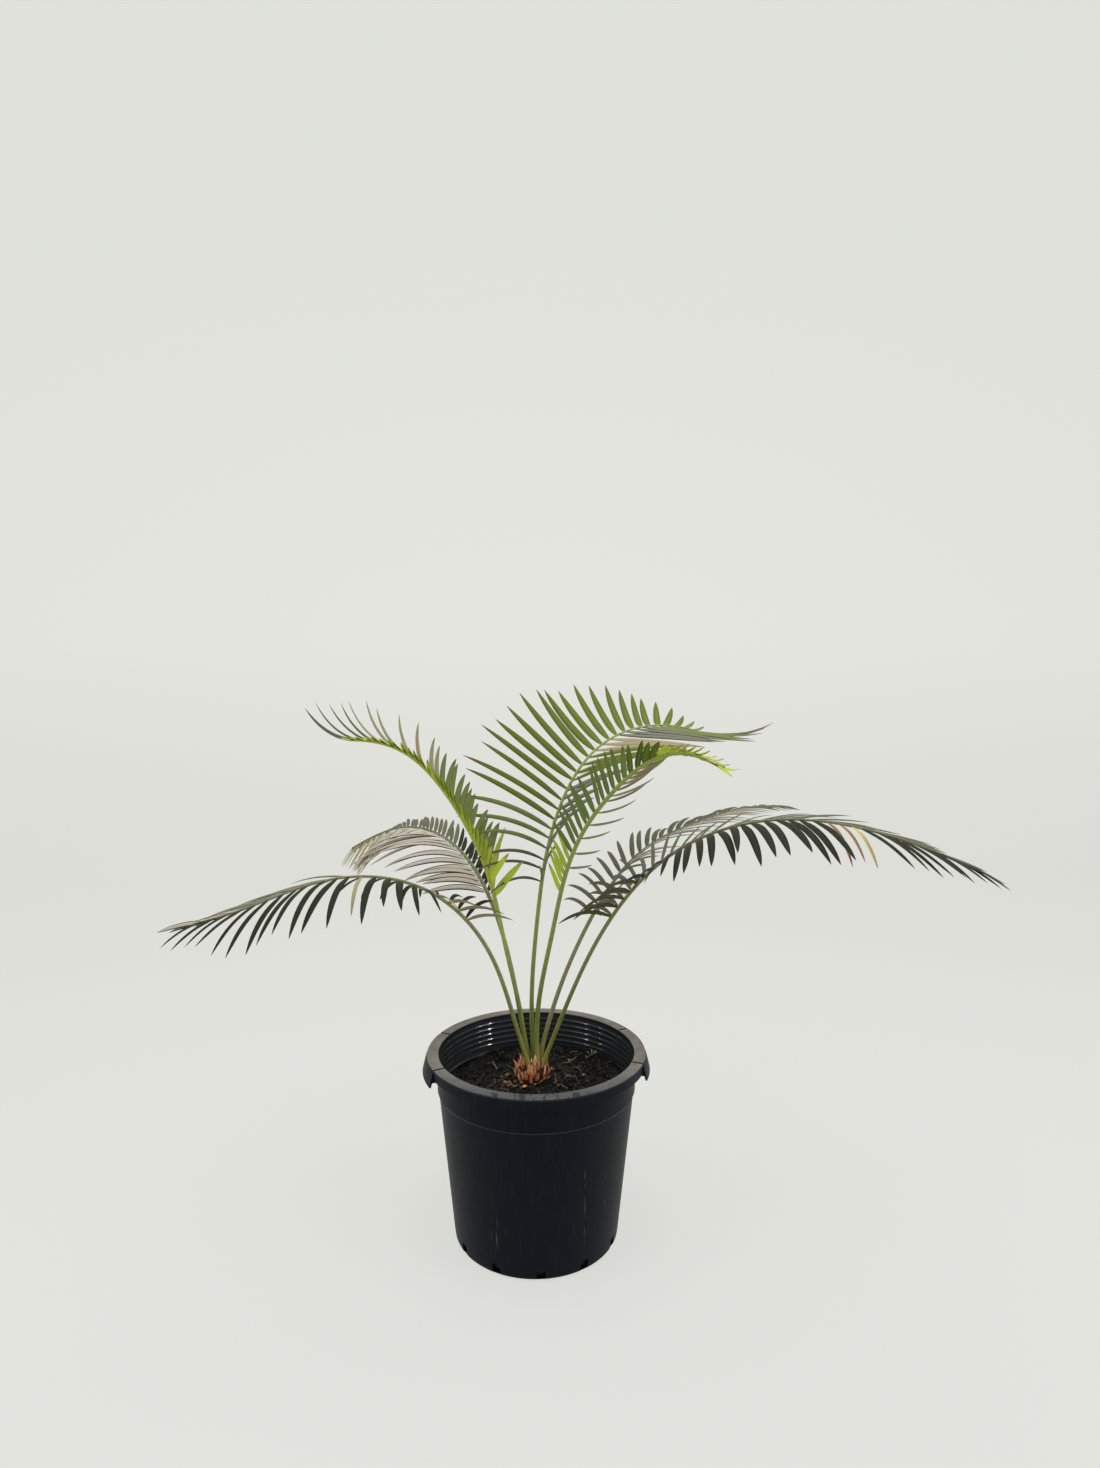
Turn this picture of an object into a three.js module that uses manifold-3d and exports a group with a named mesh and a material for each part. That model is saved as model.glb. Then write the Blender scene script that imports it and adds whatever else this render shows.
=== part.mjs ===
// A cycas edentata in a squat nursery pot: pot, soil, the scaly crown of the stem, and seven fronds.
// Millimetres, +Z up. The origin is the middle of the pot's flat underside, on the ground.
// +X is to the right and +Y is away from whoever stands in front of the pot.

import * as THREE from 'three';
import { mergeVertices } from 'three/addons/utils/BufferGeometryUtils.js';
import Module from 'manifold-3d';

const wasm = await Module();
wasm.setup();

const { degToRad, lerp } = THREE.MathUtils;

// Pieces that touch in the real plant keep this much air between their faces.
const CLEARANCE = 0.3;

// The pot. Radii are outer ones unless they say inner.
const POT_HEIGHT = 251;
const POT_SIDES = 36;
const WALL = 2.2;
const FLOOR = 4;
const RIM_RADIUS = 150;
const RIM_WIDTH = 15.5;
const RIM_EDGE = 1;
const FLANGE = 3;
const SKIRT_DROP = 14;
const SKIRT_THICKNESS = 2.5;
const NECK_RADIUS = 136;
const SHOULDER_HEIGHT = 202;
const SHOULDER_RADIUS = 134.1;
const SHOULDER_STEP = 1.2;
const FOOT_RADIUS = 112.5;
const FOOT_CORNER = 9;
const INNER_CORNER = 8;

// Raised rings on the inside of the pot's neck, with hollows between them
const RING_COUNT = 5;
const RING_FIRST = 208;
const RING_SPACING = 8;
const RING_HEIGHT = 1;

// Drain notches, cut up from the underside through the foot's corner
const NOTCH_COUNT = 12;
const NOTCH_WIDTH = 11;
const NOTCH_HEIGHT = 15;
const NOTCH_DEPTH = 20;
const NOTCH_TURN = -87;

// Two grips: stretches of the rim with a deeper skirt that flares out and is open below and at its ends
const GRIPS = [[-20, 27], [158, 207]];
const GRIP_DROP = 22.5;
const GRIP_FLARE = 6;
const GRIP_THICKNESS = 2.4;

// Soil, level at the wall and heaped a little to a flat seat in the middle
const SOIL_EDGE = 203;
const SOIL_TOP = 210;
const SEAT_RADIUS = 28;
const HEAP_RADIUS = 92;
const HEAP_HEIGHT = 205;
const SOIL_WALL_GAP = 0.45;

// Crown of the stem: a short bulb on the soil's seat, with rows of pointed scales. The bulb's outline is
// given in shares of its radius and height, from its foot up, and a scale's lean outwards in degrees.
const CROWN_TOP = 236;
const BULB_RADIUS = 22;
const BULB_SIDES = 16;
const BULB_OUTLINE = [[0.86, 0], [0.97, 0.2], [1, 0.6], [0.97, 1]];
const SCALE_ROWS = [
  { count: 10, radius: 21, height: 215, length: 17, width: 9, lean: 12, turn: 0 },
  { count: 11, radius: 22, height: 225, length: 20, width: 8, lean: -2, turn: 16 },
];
const SCALE_THICKNESS = 2.6;

// Stalks of the fronds
const STALK_FOOT_RADIUS = 3.9;
const STALK_BLADE_RADIUS = 3.1;
const STALK_TIP_RADIUS = 1.5;
const STALK_SIDES = 8;
const RACHIS_SIDES = 4;
const STALK_STEP = 30;

// How finely a midrib's curve is followed before it is cut into stretches
const MIDRIB_STEPS = 160;

// Leaflets, three-sided with the keel on the underside. A leaflet has three straight pieces, and its
// outline gives the share of its width at the cross-sections from root to tip.
const LEAFLET_LEAST_WIDTH = 4;
const LEAFLET_THICKNESS = 1.8;
const LEAFLET_PIECES = 3;
const LEAFLET_OUTLINE = [0.3, 1, 0.85, 0];
const STEPS_A_PIECE = 3;

// Where a blade is split in two, as a share of the blade, and how far leaflets keep from its cut ends
const BLADE_SPLIT = 0.45;
const END_MARGIN = 3;

// The fronds, in the order in which they take their space. foot is the middle of the stalk on the crown
// and heading is where the frond leans (0 is +X, 90 is +Y). tilts are the midrib's angles from upright at
// even steps from foot to tip. bladeStart is the share of the length that is bare stalk. The rest is the
// leaflets' rule, the same for both sides or given for the frond's right and left side. reach is a
// leaflet's length, sweep its angle from the midrib, lift its angle out of the blade's plane and roll the
// turn of that plane. droop, hook and rise bend a leaflet towards the ground, towards the frond's tip and
// towards its upper side. A list gives values at even steps along the blade.
const FRONDS = [
  {
    name: 'left_frond', colour: '#37472c', foot: [-12, -12.5], heading: 192, length: 586,
    tilts: [17, 19, 45, 81, 109, 102], bladeStart: 0.36, pairs: 22, roll: 0, hook: -0.25, rise: 0,
    right: {
      reach: [75, 90, 100, 90, 56], sweep: [95, 82, 56, 38, 24], lift: [30, 6, -2, 8, 12],
      droop: [0.5, 0.35, 0.15, 0.05, 0], width: 6,
    },
    left: {
      reach: [65, 84, 100, 88, 54], sweep: [95, 92, 72, 48, 30], lift: [45, 12, 4, 4, 8],
      droop: [0.5, 0.9, 0.95, 0.8, 0.35], width: 7.5,
    },
  },
  {
    name: 'right_frond', colour: '#3b4a2c', foot: [11, -4.5], heading: 340, length: 715,
    tilts: [21, 25, 41, 71, 99, 112], bladeStart: 0.31, pairs: 27, roll: 0, hook: -0.1, rise: 0,
    right: {
      reach: [84, 92, 104, 82, 48], sweep: [90, 80, 62, 46, 28], lift: [62, 14, 0, 2, 8],
      droop: [1.2, 0.7, 0.8, 0.7, 0.4], width: [7, 9, 8.5, 6.5],
    },
    left: {
      reach: [70, 85, 100, 90, 55], sweep: [100, 70, 50, 38, 26], lift: [40, 10, 4, 2, 0],
      droop: [0.75, 0.4, 0.25, 0.1, 0.1], width: 6.5,
    },
  },
  {
    name: 'back_right_frond', colour: '#3a4b2b', foot: [4.5, 5.5], heading: 30, length: 629,
    tilts: [16, 27.5, 41.5, 71, 82, 94.5], bladeStart: 0.32, pairs: 29, roll: 0, hook: 0.4, rise: 0,
    sweep: [68, 36, 36], lift: [20, 14, 12], droop: 0.6, width: 6.5,
    right: { reach: [50, 80, 84, 60, 36] },
    left: { reach: [36, 62, 74, 60, 36] },
  },
  {
    name: 'back_left_frond', colour: '#3c4b2f', foot: [-11.5, 6.5], heading: 137, length: 606,
    tilts: [15, 18, 38, 76, 105, 115], bladeStart: 0.38, pairs: 25, roll: [0, 12, 0], hook: 0.3, rise: -0.2,
    width: 6.5,
    right: {
      reach: [70, 80, 76, 60, 36], sweep: [58, 58, 58, 50, 36], lift: [0, 8, 14, 10, 5], droop: 0.9,
    },
    left: {
      reach: [100, 132, 116, 78, 40], sweep: [62, 62, 62, 58, 40], lift: [10, 22, 2, -38, -48],
      droop: [0.9, 1, 0.8, 0.5, 0.3],
    },
  },
  {
    name: 'young_back_frond', colour: '#66823a', foot: [-3.5, 4], heading: 28, length: 646,
    tilts: [-5, 4.5, 10.5, 32, 76, 104.5], bladeStart: 0.34, pairs: 29, hook: 0, rise: 0, width: 7.5,
    right: {
      reach: [70, 100, 135, 135, 118], sweep: [60, 54, 44, 26, 10], lift: [0, -10, -18, -8],
      roll: [45, 20, 0, 0], droop: [0.3, 0.3, 0.25, 0.1, -0.4],
    },
    left: {
      reach: [112, 148, 136, 72, 44], sweep: [66, 66, 76, 66, 30], lift: [45, 25, 10, 0],
      roll: [-60, -45, -20, 0], droop: [0.4, 0.2, -0.3, -0.6, -0.3],
    },
  },
  {
    name: 'young_left_frond', colour: '#7f9a3c', foot: [-13.5, -3.5], heading: 217, length: 554,
    tilts: [6, 15, 14.5, 29.5, 46, 88], bladeStart: 0.40, pairs: 26, roll: [15, 30, 10], hook: -0.1, droop: 0,
    right: {
      reach: [80, 40, 46, 66, 84], sweep: [45, 45, 40, 30, 6], lift: [40, 55, 42, 34, 10],
      rise: [0.2, 0.2, 0.4, 0.9, 1.5], width: [6.5, 6, 5, 3, 3],
    },
    left: {
      reach: [88, 42, 36, 20, 12], sweep: [45, 45, 32], lift: [40, 55, 35], rise: 0.2, width: 6.5,
    },
  },
  {
    name: 'young_front_frond', colour: '#6f8a34', foot: [1, -8], heading: 306, length: 617,
    tilts: [-4, 17, 19, 43, 63, 112], bladeStart: 0.36, pairs: 28, hook: -0.1,
    right: {
      reach: [40, 54, 46, 28, 16], sweep: [35, 56, 50, 30], lift: [62, 65, 60], roll: [12, 8, 0],
      rise: 0, droop: 0.3, width: 6.5,
    },
    left: {
      reach: [34, 44, 54, 34, 14], sweep: [84, 72, 56, 34], lift: [-30, -26, -20, -10], roll: 0,
      rise: 0.5, droop: 0, width: [2.5, 2.5, 3, 5],
    },
  },
];

const FINISHES = {
  pot: { color: '#23272a', roughness: 0.55, metalness: 0 },
  soil: { color: '#1d1a17', roughness: 1, metalness: 0 },
  crown: { color: '#a2643f', roughness: 0.8, metalness: 0 },
  stalk: { color: '#7c8a45', roughness: 0.6, metalness: 0 },
  leaf: { roughness: 0.6, metalness: 0 },
};

const plant = new THREE.Group();

// Closed meshes to solids and back

// A solid from a geometry: its shared vertices are merged and its faces point out.
function solid(geometry) {
  geometry.deleteAttribute('normal');
  geometry.deleteAttribute('uv');
  const merged = mergeVertices(geometry);
  const places = merged.attributes.position.array;
  const corners = [];
  for (let i = 0; i < merged.index.count; i += 3) {
    const face = [0, 1, 2].map((k) => merged.index.getX(i + k));
    if (new Set(face).size === 3) corners.push(face);
  }
  const at = (k) => new THREE.Vector3().fromArray(places, 3 * k);
  const volume = corners.reduce((sum, [a, b, c]) => sum + at(a).dot(at(b).cross(at(c))), 0);
  const faces = volume < 0 ? corners.map(([a, b, c]) => [a, c, b]) : corners;
  return new wasm.Manifold(new wasm.Mesh({
    numProp: 3,
    vertProperties: new Float32Array(places),
    triVerts: new Uint32Array(faces.flat()),
  }));
}

// One named piece of the plant, made from a solid and added to a group.
function addPiece(group, name, shape, finish) {
  const mesh = shape.getMesh();
  const geometry = new THREE.BufferGeometry();
  geometry.setAttribute('position', new THREE.BufferAttribute(new Float32Array(mesh.vertProperties), 3));
  geometry.setIndex(new THREE.BufferAttribute(new Uint32Array(mesh.triVerts), 1));
  geometry.computeVertexNormals();
  const piece = new THREE.Mesh(geometry, new THREE.MeshStandardMaterial(finish));
  piece.name = name;
  group.add(piece);
}

function joined(shapes) {
  return shapes.reduce((whole, shape) => whole.add(shape));
}

// A profile of [radius, height] pairs turned round the Z axis
function turned(profile, sides) {
  const points = profile.map(([radius, height]) => new THREE.Vector2(radius, height));
  return solid(new THREE.LatheGeometry(points, sides).rotateX(Math.PI / 2));
}

// The pot

// Outer radius of the tapering body at a height
function bodyRadius(height) {
  return lerp(FOOT_RADIUS, SHOULDER_RADIUS, (height - FOOT_CORNER) / (SHOULDER_HEIGHT - FOOT_CORNER));
}

// The foot's rounded corner, as three points on an arc from the underside to the wall
function footCorner() {
  return [0, 0.5, 1].map((share) => {
    const angle = share * Math.PI / 2;
    return [
      FOOT_RADIUS - FOOT_CORNER * (1 - Math.sin(angle)),
      FOOT_CORNER * (1 - Math.cos(angle)),
    ];
  });
}

// The neck's inner face from the top down, with its raised rings
function innerNeck(radius) {
  const points = [];
  for (let k = RING_COUNT - 1; k >= 0; k -= 1) {
    const height = RING_FIRST + k * RING_SPACING;
    points.push([radius, height + RING_SPACING / 2], [radius - RING_HEIGHT, height]);
  }
  return points;
}

function potBody() {
  const lip = RIM_RADIUS - RIM_WIDTH;
  const skirtInner = RIM_RADIUS - SKIRT_THICKNESS;
  const skirtFoot = POT_HEIGHT - SKIRT_DROP;
  const flangeFoot = POT_HEIGHT - FLANGE;
  return turned([
    [0, 0],
    ...footCorner(),
    [SHOULDER_RADIUS, SHOULDER_HEIGHT],
    [SHOULDER_RADIUS + SHOULDER_STEP, SHOULDER_HEIGHT + SHOULDER_STEP],
    [NECK_RADIUS, flangeFoot],
    [skirtInner, flangeFoot],
    [skirtInner, skirtFoot],
    [RIM_RADIUS, skirtFoot],
    [RIM_RADIUS, POT_HEIGHT - RIM_EDGE],
    [RIM_RADIUS - RIM_EDGE, POT_HEIGHT],
    [lip, POT_HEIGHT],
    ...innerNeck(lip - RIM_EDGE),
    [innerRadius(SOIL_EDGE), SOIL_EDGE],
    [innerRadius(FLOOR + INNER_CORNER), FLOOR + INNER_CORNER],
    [innerRadius(FLOOR + INNER_CORNER) - INNER_CORNER, FLOOR],
    [0, FLOOR],
  ], POT_SIDES);
}

function innerRadius(height) {
  return bodyRadius(height) - WALL;
}

// A wedge round the Z axis between two headings, taller and wider than the pot
function wedge(from, to) {
  const reach = 2 * RIM_RADIUS;
  const shape = new THREE.Shape();
  shape.moveTo(0, 0);
  for (const share of [0, 0.5, 1]) {
    const angle = degToRad(lerp(from, to, share));
    shape.lineTo(reach * Math.cos(angle), reach * Math.sin(angle));
  }
  shape.closePath();
  return solid(new THREE.ExtrudeGeometry(shape, { depth: 2 * POT_HEIGHT, bevelEnabled: false }));
}

// A grip's skirt: a ring that flares out from the rim, cut to its stretch
function grip([from, to]) {
  const top = POT_HEIGHT - RIM_EDGE;
  const foot = POT_HEIGHT - GRIP_DROP;
  const outer = RIM_RADIUS + GRIP_FLARE;
  const ring = turned([
    [RIM_RADIUS - GRIP_THICKNESS, top - FLANGE],
    [outer - GRIP_THICKNESS, foot],
    [outer, foot],
    [RIM_RADIUS, top],
    [RIM_RADIUS - GRIP_THICKNESS, top],
    [RIM_RADIUS - GRIP_THICKNESS, top - FLANGE],
  ], POT_SIDES);
  return ring.intersect(wedge(from, to));
}

function notch(k) {
  const box = new THREE.BoxGeometry(NOTCH_DEPTH, NOTCH_WIDTH, 2 * NOTCH_HEIGHT);
  box.translate(FOOT_RADIUS, 0, 0);
  box.rotateZ(degToRad(NOTCH_TURN) + k * 2 * Math.PI / NOTCH_COUNT);
  return solid(box);
}

function pot() {
  const body = joined([potBody(), ...GRIPS.map(grip)]);
  return Array.from({ length: NOTCH_COUNT }, (_, k) => notch(k))
    .reduce((shape, cut) => shape.subtract(cut), body);
}

// Soil, clear of the pot's wall and floor

function soil() {
  const corner = FLOOR + INNER_CORNER;
  return turned([
    [0, FLOOR + CLEARANCE],
    [innerRadius(corner) - INNER_CORNER - SOIL_WALL_GAP, FLOOR + CLEARANCE],
    [innerRadius(corner) - SOIL_WALL_GAP, corner + CLEARANCE],
    [innerRadius(SOIL_EDGE) - SOIL_WALL_GAP, SOIL_EDGE],
    [HEAP_RADIUS, HEAP_HEIGHT],
    [SEAT_RADIUS, SOIL_TOP],
    [0, SOIL_TOP],
  ], POT_SIDES);
}

// Crown: a bulb with a flat top, and scales whose roots are sunk in it

function bulb() {
  const foot = SOIL_TOP + CLEARANCE;
  const side = BULB_OUTLINE.map(([radius, height]) => [radius * BULB_RADIUS, lerp(foot, CROWN_TOP, height)]);
  return turned([[0, foot], ...side, [0, CROWN_TOP]], BULB_SIDES);
}

// A pointed scale that stands on the bulb's side: a flat four-sided cone with its root in the bulb
function scale(row, k) {
  const cone = new THREE.ConeGeometry(Math.SQRT1_2, 1, 4, 1);
  cone.rotateY(Math.PI / 4);
  cone.scale(SCALE_THICKNESS, row.length, row.width);
  cone.translate(0, row.length / 2, 0);
  cone.rotateX(Math.PI / 2);
  cone.rotateY(degToRad(row.lean));
  cone.translate(row.radius, 0, row.height);
  cone.rotateZ(degToRad(row.turn) + k * 2 * Math.PI / row.count);
  return solid(cone);
}

// The scales of every row, without those that would touch a stalk
function scales(stalks) {
  const kept = [];
  for (const row of SCALE_ROWS) {
    for (let k = 0; k < row.count; k += 1) {
      const shape = scale(row, k);
      if (stalks.every((stalk) => isClear(shape, stalk))) kept.push(shape);
    }
  }
  return kept;
}

// Fronds, each made in its own frame: the foot at the origin, leaning towards +X

// The value at t, from 0 to 1, of a smooth line through evenly spaced values, or of one steady value
function smooth(values, t) {
  if (!Array.isArray(values)) return values;
  const last = values.length - 1;
  const place = THREE.MathUtils.clamp(t, 0, 1) * last;
  const i = Math.min(Math.floor(place), last - 1);
  const u = place - i;
  const before = values[Math.max(i - 1, 0)];
  const from = values[i];
  const to = values[i + 1];
  const after = values[Math.min(i + 2, last)];
  const bend = (2 * before - 5 * from + 4 * to - after) * u ** 2;
  const twist = (3 * from - before - 3 * to + after) * u ** 3;
  return 0.5 * (2 * from + (to - before) * u + bend + twist);
}

// Points at even steps along a frond's midrib, which bends in the XZ plane
function midribOf(frond) {
  const step = frond.length / MIDRIB_STEPS;
  const points = [new THREE.Vector3()];
  for (let k = 0; k < MIDRIB_STEPS; k += 1) {
    const tilt = degToRad(smooth(frond.tilts, (k + 0.5) / MIDRIB_STEPS));
    const direction = new THREE.Vector3(Math.sin(tilt), 0, Math.cos(tilt));
    points.push(points[k].clone().addScaledVector(direction, step));
  }
  return points;
}

// The midrib's point at t, its direction, the frond's right side and its upper side
function frameAt(frond, t) {
  const place = t * MIDRIB_STEPS;
  const k = Math.min(Math.floor(place), MIDRIB_STEPS - 1);
  const tilt = degToRad(smooth(frond.tilts, t));
  return {
    point: frond.midrib[k].clone().lerp(frond.midrib[k + 1], place - k),
    along: new THREE.Vector3(Math.sin(tilt), 0, Math.cos(tilt)),
    right: new THREE.Vector3(0, -1, 0),
    above: new THREE.Vector3(-Math.cos(tilt), 0, Math.sin(tilt)),
  };
}

// Radius of stalk and midrib at t
function stalkRadius(frond, t) {
  if (t < frond.bladeStart) return lerp(STALK_FOOT_RADIUS, STALK_BLADE_RADIUS, t / frond.bladeStart);
  return lerp(STALK_BLADE_RADIUS, STALK_TIP_RADIUS, (t - frond.bladeStart) / (1 - frond.bladeStart));
}

// A stretch of stalk: a cylinder bent along the midrib from one share of its length to another.
// The end at the foot is cut level, to stand on the crown.
function stalk(frond, from, to, sides) {
  const steps = Math.ceil((to - from) * frond.length / STALK_STEP);
  const geometry = new THREE.CylinderGeometry(1, 1, 1, sides, steps);
  geometry.rotateY(Math.PI / sides);
  const { position } = geometry.attributes;
  const corner = new THREE.Vector3();
  for (let i = 0; i < position.count; i += 1) {
    corner.fromBufferAttribute(position, i);
    const t = lerp(from, to, corner.y + 0.5);
    const { point, along, right, above } = frameAt(frond, t);
    const radius = stalkRadius(frond, t);
    point.addScaledVector(right, corner.x * radius).addScaledVector(above, corner.z * radius);
    if (t === 0) point.addScaledVector(along, -point.z / along.z);
    position.setXYZ(i, ...point.toArray());
  }
  return solid(geometry);
}

// The leaflets' rule on one side of a frond. side is 1 on the frond's right and -1 on its left.
function ruleOf(frond, side) {
  return { ...frond, ...(side > 0 ? frond.right : frond.left) };
}

// A leaflet's middle line and the direction of its width at each of its cross-sections
function leafletPath(frond, u, side) {
  const rule = ruleOf(frond, side);
  const { point, along, right, above } = frameAt(frond, lerp(frond.bladeStart, 1, u));
  const roll = degToRad(smooth(rule.roll, u));
  const outward = right.clone().multiplyScalar(Math.cos(roll)).addScaledVector(above, Math.sin(roll));
  const upper = above.clone().multiplyScalar(Math.cos(roll)).addScaledVector(right, -Math.sin(roll));
  const sweep = degToRad(smooth(rule.sweep, u));
  const lift = degToRad(smooth(rule.lift, u));
  const start = along.clone().multiplyScalar(Math.cos(sweep))
    .addScaledVector(outward, side * Math.sin(sweep) * Math.cos(lift))
    .addScaledVector(upper, Math.sin(sweep) * Math.sin(lift));
  const bend = along.clone().multiplyScalar(smooth(rule.hook, u)).addScaledVector(upper, smooth(rule.rise, u));
  bend.z -= smooth(rule.droop, u);

  const steps = LEAFLET_PIECES * STEPS_A_PIECE;
  const step = smooth(rule.reach, u) / steps;
  const width = along.clone();
  const sections = [];
  for (let k = 0; k <= steps; k += 1) {
    const direction = start.clone().addScaledVector(bend, (k + 0.5) / steps).normalize();
    width.addScaledVector(direction, -width.dot(direction)).normalize();
    const under = direction.clone().cross(width).multiplyScalar(side);
    if (k % STEPS_A_PIECE === 0) sections.push({ point: point.clone(), width: width.clone(), under });
    point.addScaledVector(direction, step);
  }
  return sections;
}

// A leaflet: a three-sided cone laid along its path, flat above and keeled below. The cone's rings become
// triangles whose edges lie half a width to either side, a third of the thickness above the path.
function leaflet(frond, u, side) {
  const sections = leafletPath(frond, u, side);
  const fullWidth = Math.max(smooth(ruleOf(frond, side).width, u), LEAFLET_LEAST_WIDTH);
  const geometry = new THREE.ConeGeometry(1, 1, 3, LEAFLET_PIECES);
  const { position } = geometry.attributes;
  const corner = new THREE.Vector3();
  for (let i = 0; i < position.count; i += 1) {
    corner.fromBufferAttribute(position, i);
    const k = Math.round((corner.y + 0.5) * LEAFLET_PIECES);
    const { point, width, under } = sections[k];
    const ring = Math.max(Math.hypot(corner.x, corner.z), Number.EPSILON);
    const halfWidth = LEAFLET_OUTLINE[k] * fullWidth / 2;
    const thickness = Math.sqrt(LEAFLET_OUTLINE[k]) * LEAFLET_THICKNESS;
    const spot = point.clone()
      .addScaledVector(width, corner.x / ring * 2 / Math.sqrt(3) * halfWidth)
      .addScaledVector(under, corner.z / ring * 2 / 3 * thickness);
    position.setXYZ(i, ...spot.toArray());
  }
  return solid(geometry);
}

// Whether two solids, or rather their boxes first, keep the clearance
function isClear(one, other) {
  const a = one.boundingBox();
  const b = other.boundingBox();
  const apart = [0, 1, 2].some((k) => a.min[k] - CLEARANCE > b.max[k] || b.min[k] - CLEARANCE > a.max[k]);
  return apart || one.minGap(other, CLEARANCE) >= CLEARANCE;
}

// The three stretches of a frond: bare stalk, lower blade and upper blade, with the clearance between them
function stretchesOf(frond) {
  const split = lerp(frond.bladeStart, 1, BLADE_SPLIT);
  const gap = CLEARANCE / frond.length;
  return [
    { name: `${frond.name}_stalk`, from: 0, to: frond.bladeStart, sides: STALK_SIDES },
    { name: `${frond.name}_lower_blade`, from: frond.bladeStart + gap, to: split, sides: RACHIS_SIDES },
    { name: `${frond.name}_upper_blade`, from: split + gap, to: 1, sides: RACHIS_SIDES },
  ];
}

for (const frond of FRONDS) {
  frond.midrib = midribOf(frond);
  frond.group = new THREE.Group();
  frond.group.position.set(...frond.foot, CROWN_TOP + CLEARANCE);
  frond.group.rotation.z = degToRad(frond.heading);
  frond.group.updateMatrix();
  plant.add(frond.group);
}

// Every stalk and midrib takes its place before any leaflet does.
const stretches = FRONDS.flatMap((frond) => stretchesOf(frond).map((stretch) => ({ ...stretch, frond })));
const taken = [];
for (const stretch of stretches) {
  const { frond, from, to, sides, name } = stretch;
  stretch.shape = stalk(frond, from, to, sides);
  taken.push({ name, shape: stretch.shape.transform(frond.group.matrix.elements) });
}
const stalksInPlace = taken.map((entry) => entry.shape);

// Leaflets follow in pairs. One that would touch another piece of the plant is left out.
for (const { name, frond, from, to, shape } of stretches) {
  const margin = END_MARGIN / frond.length;
  const others = taken.filter((entry) => entry.name !== name);
  const parts = [shape];
  for (let pair = 0; pair < frond.pairs; pair += 1) {
    const u = (pair + 0.5) / frond.pairs;
    const t = lerp(frond.bladeStart, 1, u);
    if (t < from + margin || t > to - margin) continue;
    for (const side of [1, -1]) {
      const leaf = leaflet(frond, u, side);
      const placed = leaf.transform(frond.group.matrix.elements);
      if (others.every((entry) => isClear(placed, entry.shape))) {
        parts.push(leaf);
        taken.push({ name, shape: placed });
      }
    }
  }
  const finish = parts.length === 1 ? FINISHES.stalk : { ...FINISHES.leaf, color: frond.colour };
  addPiece(frond.group, name, joined(parts), finish);
}

addPiece(plant, 'pot', pot(), FINISHES.pot);
addPiece(plant, 'soil', soil(), FINISHES.soil);
addPiece(plant, 'crown', joined([bulb(), ...scales(stalksInPlace)]), FINISHES.crown);

export default plant;
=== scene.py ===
"""The looks of a cycas edentata in a squat nursery pot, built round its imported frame.

Sizes are in millimetres in the tables and formulas, and turned to metres where a mesh is made.
+Z is up, +X is to the right and +Y is away from the camera.
"""
import math

import bmesh
import bpy
import numpy as np
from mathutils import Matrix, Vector, noise


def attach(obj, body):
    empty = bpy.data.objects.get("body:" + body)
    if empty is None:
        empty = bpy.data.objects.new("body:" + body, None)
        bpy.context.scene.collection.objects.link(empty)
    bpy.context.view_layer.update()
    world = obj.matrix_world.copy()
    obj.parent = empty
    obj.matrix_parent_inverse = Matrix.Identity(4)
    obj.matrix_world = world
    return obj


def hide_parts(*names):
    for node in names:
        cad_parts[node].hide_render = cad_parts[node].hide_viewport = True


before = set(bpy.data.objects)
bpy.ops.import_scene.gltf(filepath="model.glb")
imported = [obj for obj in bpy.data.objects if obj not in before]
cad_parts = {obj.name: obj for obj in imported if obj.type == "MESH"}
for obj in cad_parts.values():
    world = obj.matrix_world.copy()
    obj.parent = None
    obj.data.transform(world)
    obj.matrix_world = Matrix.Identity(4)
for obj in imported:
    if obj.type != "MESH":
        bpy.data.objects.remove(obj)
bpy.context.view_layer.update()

bl_info = {
    "name": "Potted cycas",
    "version": (1, 0, 0),
    "blender": (4, 5, 0),
    "location": "3D View > Sidebar > Cycas",
    "description": "Builds a young cycas in its nursery pot",
    "category": "Add Mesh",
}

MM = 0.001
SEED = 11
BODY = "root"

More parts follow.
